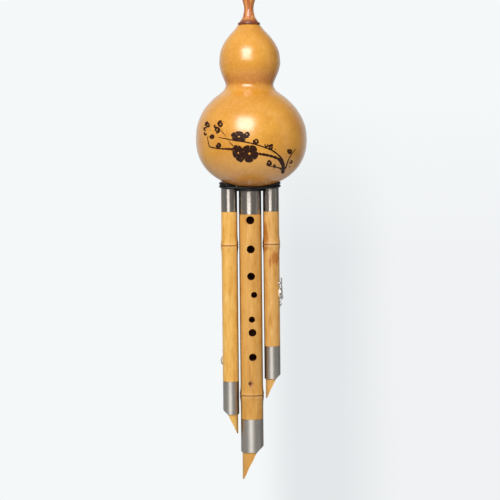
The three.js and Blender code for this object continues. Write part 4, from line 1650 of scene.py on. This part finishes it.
    def screw(self) -> bpy.types.Mesh:
        """Slotted screw with a rounded head.

        Returns:
            The screw's mesh in metres.
        """
        seat = self.spring_face + self.spring_thickness / 2 + CLOSE_GAP
        top = seat + self.screw_head
        end = self.pipe.radius - self.stud_depth
        dome = (self.screw_head_radius, self.screw_head - self.screw_rim)
        profile = [
            (0, end), (self.stud_radius, end), (self.stud_radius, seat), (self.screw_head_radius, seat),
            *arc((0, seat + self.screw_rim), dome, range(0, 81, 10)), (0, top),
        ]
        body = turned(profile, 32).moved(self.at_screw)
        low, high = (-self.screw_below + sign * self.screw_slot / 2 for sign in (-1, 1))
        slot = block((top - self.slot_depth, -OVERRUN, low), (top + OVERRUN, OVERRUN, high))
        return combined(body.moved(self.at_pad), [slot.moved(self.at_pad)])

    def piece(
        self,
        part: str,
        shape: bpy.types.Mesh | Form,
        node: str,
        body: Body | None = Body.ROOT,
        finish: Finish = KEY_METAL,
        crease: float = 32.0,
    ) -> bpy.types.Object:
        """One of the key's pieces, shown in place of one of its nodes."""
        return show(f"{self.name}_{part}", shape, [finish], body, [f"{self.name}_{node}"], crease=crease)

    def build(self) -> None:
        """Makes the key's pieces."""
        move = self.at_pad
        for place, side in (("front", self.front_side), ("back", -self.front_side)):
            slid = shift(0, side * self.post_spread, self.pivot_above)
            drilled = combined(self.post().moved(move @ slid), [self.pin_bore(self.drill_reach).moved(move)])
            self.piece(f"{place}_pillar", drilled, f"{place}_post")
        half = self.post_spread + self.head_radius + CLOSE_GAP
        pin = softened(self.pin_radius, -half, half, self.fine_edge, 24).moved(move @ self.at_pin)
        self.piece("hinge_pin", pin, "pin")
        self.piece("arm", self.lever(), "lever", self.body, crease=38)
        pad = softened(self.pad_radius, self.pad_face, self.pad_back, self.pad_edge, 48).moved(move @ LAID_OUT)
        self.piece("cushion", pad, "pad", self.body, LEATHER)
        spring, start, end = self.spring()
        hole = bar(self.stud_radius + CLOSE_GAP, 0, self.drill_reach, 16).moved(move @ self.at_screw)
        blade = self.piece("blade", combined(spring.moved(move), [hole]), "spring", None)
        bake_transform(blade)
        self.piece("slotted_screw", self.screw(), "spring_screw")
        dress(f"{self.pipe.name}_end_plug", CORK)


@dataclass
class BindingCord:
    """Black cord that ties the three pipes under the gourd. Heights are above the gourd's base."""

    left: Pipe
    middle: Pipe
    right: Pipe
    diameter: float = 1.6
    drawn: float = 2.6
    tuck: float = 0.7
    run: float = 0.3
    low: float = 0.1
    outer: float = 1.5
    second: float = 2.7
    high: float = 4.1
    tail: float = 2.6
    melody: float = -1.7
    over: float = 0.1
    left_step: Level = (290, 326)
    right_step: Level = (222, 258)
    steps: int = 72
    spacing: float = 0.45
    strands: int = 3
    lay: float = 5.5
    sides: int = 15

    def wrap(self, pipe: Pipe, turns: Level, radii: Level, heights: Level) -> list[Vector]:
        """Draws an arc round a pipe, with its radius and height changing from start to end.

        Args:
            pipe: The pipe.
            turns: First and last angle in degrees.
            radii: First and last radius.
            heights: First and last height.

        Returns:
            The arc's points, without the last.
        """
        count = max(1, round(abs(turns[1] - turns[0]) / 360 * self.steps))
        points = []
        for way in (step / count for step in range(count)):
            turn = math.radians(turns[0] + way * (turns[1] - turns[0]))
            radius = radii[0] + way * (radii[1] - radii[0])
            height = heights[0] + (1 - math.cos(way * math.pi)) / 2 * (heights[1] - heights[0])
            points.append(Vector((pipe.axis + radius * math.cos(turn), radius * math.sin(turn), height)))
        return points

    def route(self) -> list[Vector]:
        """Loop round the left drone, front run, loop round the right drone, then the melody pipe.

        Returns:
            The cord's points, with heights above the gourd's base.
        """
        left, middle, right = self.left, self.middle, self.right
        run, low, outer, second = self.run, self.low, self.outer, self.second
        left_start, left_end = self.left_step
        right_start, right_end = self.right_step
        clear = FIT_GAP + self.diameter / 2
        near = left.radius + clear - self.tuck
        far = near + self.over
        snug, wide, main = (near, near), (far, far), (middle.radius + clear,) * 2
        legs = (
            (left, (90, 180), snug, (self.tail, self.high)),
            (left, (180, 270), snug, (self.high, second)),
            (left, (270, left_start), snug, (second, second)),
            (left, (left_start, left_end), snug, (second, low)),
            (left, (left_end, 450), snug, (low, low)),
            (left, (90, 180), (near, far), (low, outer)),
            (left, (180, 262), wide, (outer, run)),
            (middle, (262, 278), main, (run, run)),
            (right, (278, 360), wide, (run, outer)),
            (right, (0, 90), (far, near), (outer, low)),
            (right, (90, right_start), snug, (low, low)),
            (right, (right_start, right_end), snug, (low, second)),
            (right, (right_end, 270), snug, (second, second)),
            (right, (270, 360), snug, (second, self.high)),
            (right, (0, 90), snug, (self.high, self.tail)),
            (middle, (82, 98), main, (run, run)),
            (middle, (98, 180), main, (run, self.melody)),
            (middle, (180, 450), main, (self.melody, self.melody)),
        )
        return [point for leg in legs for point in self.wrap(*leg)]

    def even(self, points: Sequence[Vector]) -> list[Vector]:
        """Spaces points evenly along a line and smooths its corners.

        Args:
            points: The line's points.

        Returns:
            The new points.
        """
        spaced = [points[0].copy()]
        left = self.spacing
        for start, end in zip(points, points[1:]):
            length = (end - start).length
            at = left
            while at <= length:
                spaced.append(start.lerp(end, at / length))
                at += self.spacing
            left = at - length
        for _ in range(6):
            inner = [(before + 2 * here + after) / 4 for before, here, after in zip(spaced, spaced[1:], spaced[2:])]
            spaced = [spaced[0], *inner, spaced[-1]]
        return spaced

    def tube(self, path: Sequence[Vector]) -> Form:
        """Lays strands along a path.

        Args:
            path: Points of the path.

        Returns:
            The cord.
        """
        rings = []
        run = 0.0
        across = (path[1] - path[0]).orthogonal().normalized()
        for before, point, after in zip([path[0], *path[:-1]], path, [*path[1:], path[-1]]):
            ahead = (after - before).normalized()
            across = (across - across.dot(ahead) * ahead).normalized()
            side = ahead.cross(across)
            run += (point - before).length
            ring = []
            for turn in (FULL_TURN * step / self.sides for step in range(self.sides)):
                swing = self.strands / 2 * (turn - FULL_TURN * run / self.lay)
                radius = self.drawn / 2 * (0.9 + 0.1 * abs(math.cos(swing)))
                ring.append(point + radius * (math.cos(turn) * across + math.sin(turn) * side))
            rings.append(ring)
        return lofted(rings)

    def build(self) -> None:
        """Makes the cord."""
        path = [point + Vector((0, 0, self.left.gourd.base)) for point in self.even(self.route())]
        show("laid_cord", self.tube(path), [CORD], nodes=["binding_cord"], crease=70)


@dataclass
class Studio:
    """Camera at the photograph's angle, soft light, pale surroundings and a pale floor."""

    view_width: float = 450.0
    aim_z: float = -236.6
    roll: float = 0.0099
    sensor: float = 36.0
    backdrop: Colour = srgb(245, 248, 249)
    shadow: Colour = srgb(228, 231, 233)
    low: Colour = srgb(240, 242, 243)
    sky_left: tuple[Level, ...] = ((0.0, 0.03), (0.5, 0.37), (1.0, 0.57))
    sky_right: tuple[Level, ...] = ((0.0, 0.02), (0.5, 0.27), (1.0, 0.46))
    below: float = 0.04
    lamp_place: Triple = (-239, -1056, 488)
    lamp_aim: Triple = (1.2, 0, -137)
    lamp_size: Level = (730, 760)
    lamp_watts: float = 14.5
    floor_drop: float = 1000.0
    floor_radius: float = 2600.0
    floor_thickness: float = 4.0
    floor_glow: float = 0.5
    room_left: tuple[Level, ...] = (
        (0.0, 0.24), (0.4, 0.28), (0.52, 0.46), (0.62, 0.34), (0.72, 0.34), (0.85, 0.6), (1.0, 0.7),
    )
    room_right: tuple[Level, ...] = (
        (0.0, 0.24), (0.28, 0.2), (0.38, 0.72), (0.48, 0.2), (0.68, 0.12), (0.78, 0.2), (0.9, 0.58), (1.0, 0.7),
    )

    def camera(self) -> None:
        """Sets the camera in front, with the photograph's slight roll."""
        back = EYE - Vector((EYE.x, 0, self.aim_z))
        data = bpy.data.cameras.new("camera")
        data.sensor_width = self.sensor
        data.lens = self.sensor * back.length / self.view_width
        data.clip_start, data.clip_end = 0.05, 60.0
        back.normalize()
        across = Vector((self.roll, 0, 1)).cross(back).normalized()
        turn = Matrix((across, back.cross(across), back)).transposed().to_4x4()
        bpy.context.scene.camera = placed("camera", data, Matrix.Translation(EYE * METRES_PER_MM) @ turn)

    def lamp(self) -> None:
        """Adds a soft rectangular lamp in front."""
        data = bpy.data.lights.new("front_softbox", "AREA")
        data.shape = "RECTANGLE"
        data.size, data.size_y = (length * METRES_PER_MM for length in self.lamp_size)
        data.energy = self.lamp_watts
        place = Vector(self.lamp_place)
        turn = (Vector(self.lamp_aim) - place).to_track_quat("-Z", "Y").to_matrix().to_4x4()
        placed("front_softbox", data, Matrix.Translation(place * METRES_PER_MM) @ turn)

    def surroundings(self) -> None:
        """Pale backdrop for the camera with a painted shadow right of the instrument, a room of pale and dim sides
        for reflections, a soft sky for the rest.
        """
        world = Tree(bpy.data.worlds.new("studio"), "Generated", 1.0)
        bpy.context.scene.world = world.owner

        def greys(axis: str, stops: Sequence[Level]) -> Socket:
            """Greys along a direction, from one end to the other."""
            return world.ramp(world.span(axis, -1.0, 1.0), *((share, grey(level)) for share, level in stops))

        # Painted shadow of the instrument on the backdrop, to its right and lower down.
        cast = world.ramp(
            world.span("X", -0.01, 0.12),
            (0.08, self.backdrop), (0.3, self.shadow), (0.44, self.shadow), (0.78, self.low),
        )
        backdrop = world.mixed(world.span("Z", 0.04, -0.05), self.backdrop, cast)
        sides = world.mixed(world.span("X", -0.2, 0.2), greys("Y", self.room_left), greys("Y", self.room_right))
        room = world.mixed(world.span("Z", -0.1, -0.5), sides, grey(self.below))
        sky = world.mixed(world.span("X", -0.7, 0.7), greys("Z", self.sky_left), greys("Z", self.sky_right))
        backdrop, room, lit = (
            world.node("Background", {"Color": colour, "Strength": 1.0}).outputs["Background"]
            for colour in (backdrop, room, sky)
        )
        rays = world.node("LightPath").outputs
        shine = world.sum(rays["Is Glossy Ray"], rays["Is Transmission Ray"], "MAXIMUM")
        for share, source in ((shine, room), (rays["Is Camera Ray"], backdrop)):
            lit = world.node("MixShader", {"Fac": share, 1: lit, 2: source}).outputs["Shader"]
        world.node("OutputWorld", {"Surface": lit})

    def floor(self) -> None:
        """Pale round floor far below the hanging instrument, which fades out at its edge."""
        disc = bar(self.floor_radius, -self.floor_thickness, 0, 96).moved(shift(0, 0, -self.floor_drop))
        shape = placed("floor", disc.mesh("floor"))
        bench = Bench("floor")
        rim = self.floor_radius * METRES_PER_MM
        fade = {"Value": bench.away(bench.places), "From Min": rim / 2, "From Max": rim, "To Min": 1.0, "To Max": 0.0}
        glow = bench.sum(bench.node("LightPath").outputs["Is Camera Ray"], self.floor_glow)
        bench.fill(bench.shader, {
            "Base Color": (*self.low, 1),
            "Roughness": 0.9,
            "Emission Color": (*self.low, 1),
            "Emission Strength": glow,
            "Alpha": bench.node("MapRange", fade).outputs["Result"],
        })
        shape.data.materials.append(bench.owner)

    def build(self) -> None:
        """Sets up the light, the floor and the surroundings."""
        bpy.context.scene.view_settings.view_transform = "Standard"
        self.surroundings()
        self.floor()
        self.lamp()
        log.info("studio ready")


def write_sizes() -> None:
    """Brings the scene's placements up to date."""
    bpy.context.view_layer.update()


def main() -> None:
    """Builds the studio and the instrument in order."""
    logging.basicConfig(level=logging.INFO, format="%(message)s")
    studio = Studio()
    studio.camera()
    gourd = Gourd()
    left_tones = (srgb(249, 200, 116), srgb(238, 180, 84), srgb(222, 158, 62))
    melody_tones = (srgb(232, 176, 94), srgb(220, 160, 74), srgb(202, 138, 54))
    right_tones = (srgb(234, 182, 106), srgb(222, 164, 84), srgb(204, 142, 62))
    right_stains = (
        ((-5.2, 6.4), (1.7, 4.2)), ((-5.6, 14.0), (1.1, 4.0)), ((-5.2, -3.0), (1.5, 2.0)),
        ((3.4, -12.4), (2.6, 3.4)), ((-1.3, -16.0), (0.5, 3.4)),
    )
    left = Pipe(gourd, "left_drone", Side.LEFT, 4.5, 21.4, 52.3, left_tones, (1,))
    melody = Pipe(gourd, "melody", Side.RIGHT, 6.5, 30.0, 187.3, melody_tones, (-1, 1))
    right = Pipe(gourd, "right_drone", Side.RIGHT, 4.5, 21.4, 51.4, right_tones, (-1,), right_stains)
    keys = [DroneKey("left_key", Body.LEFT_KEY, left, 1), DroneKey("right_key", Body.RIGHT_KEY, right, -1)]
    for driller in (FingerHoles(melody), *keys):
        driller.drill()
    gourd.build((melody, left, right))
    cord = BindingCord(left, melody, right)
    for piece in (PlumBranch(gourd), Mouthpiece(), left, melody, right, *keys, cord, studio):
        piece.build()
    write_sizes()


if __name__ == "__main__":
    main()
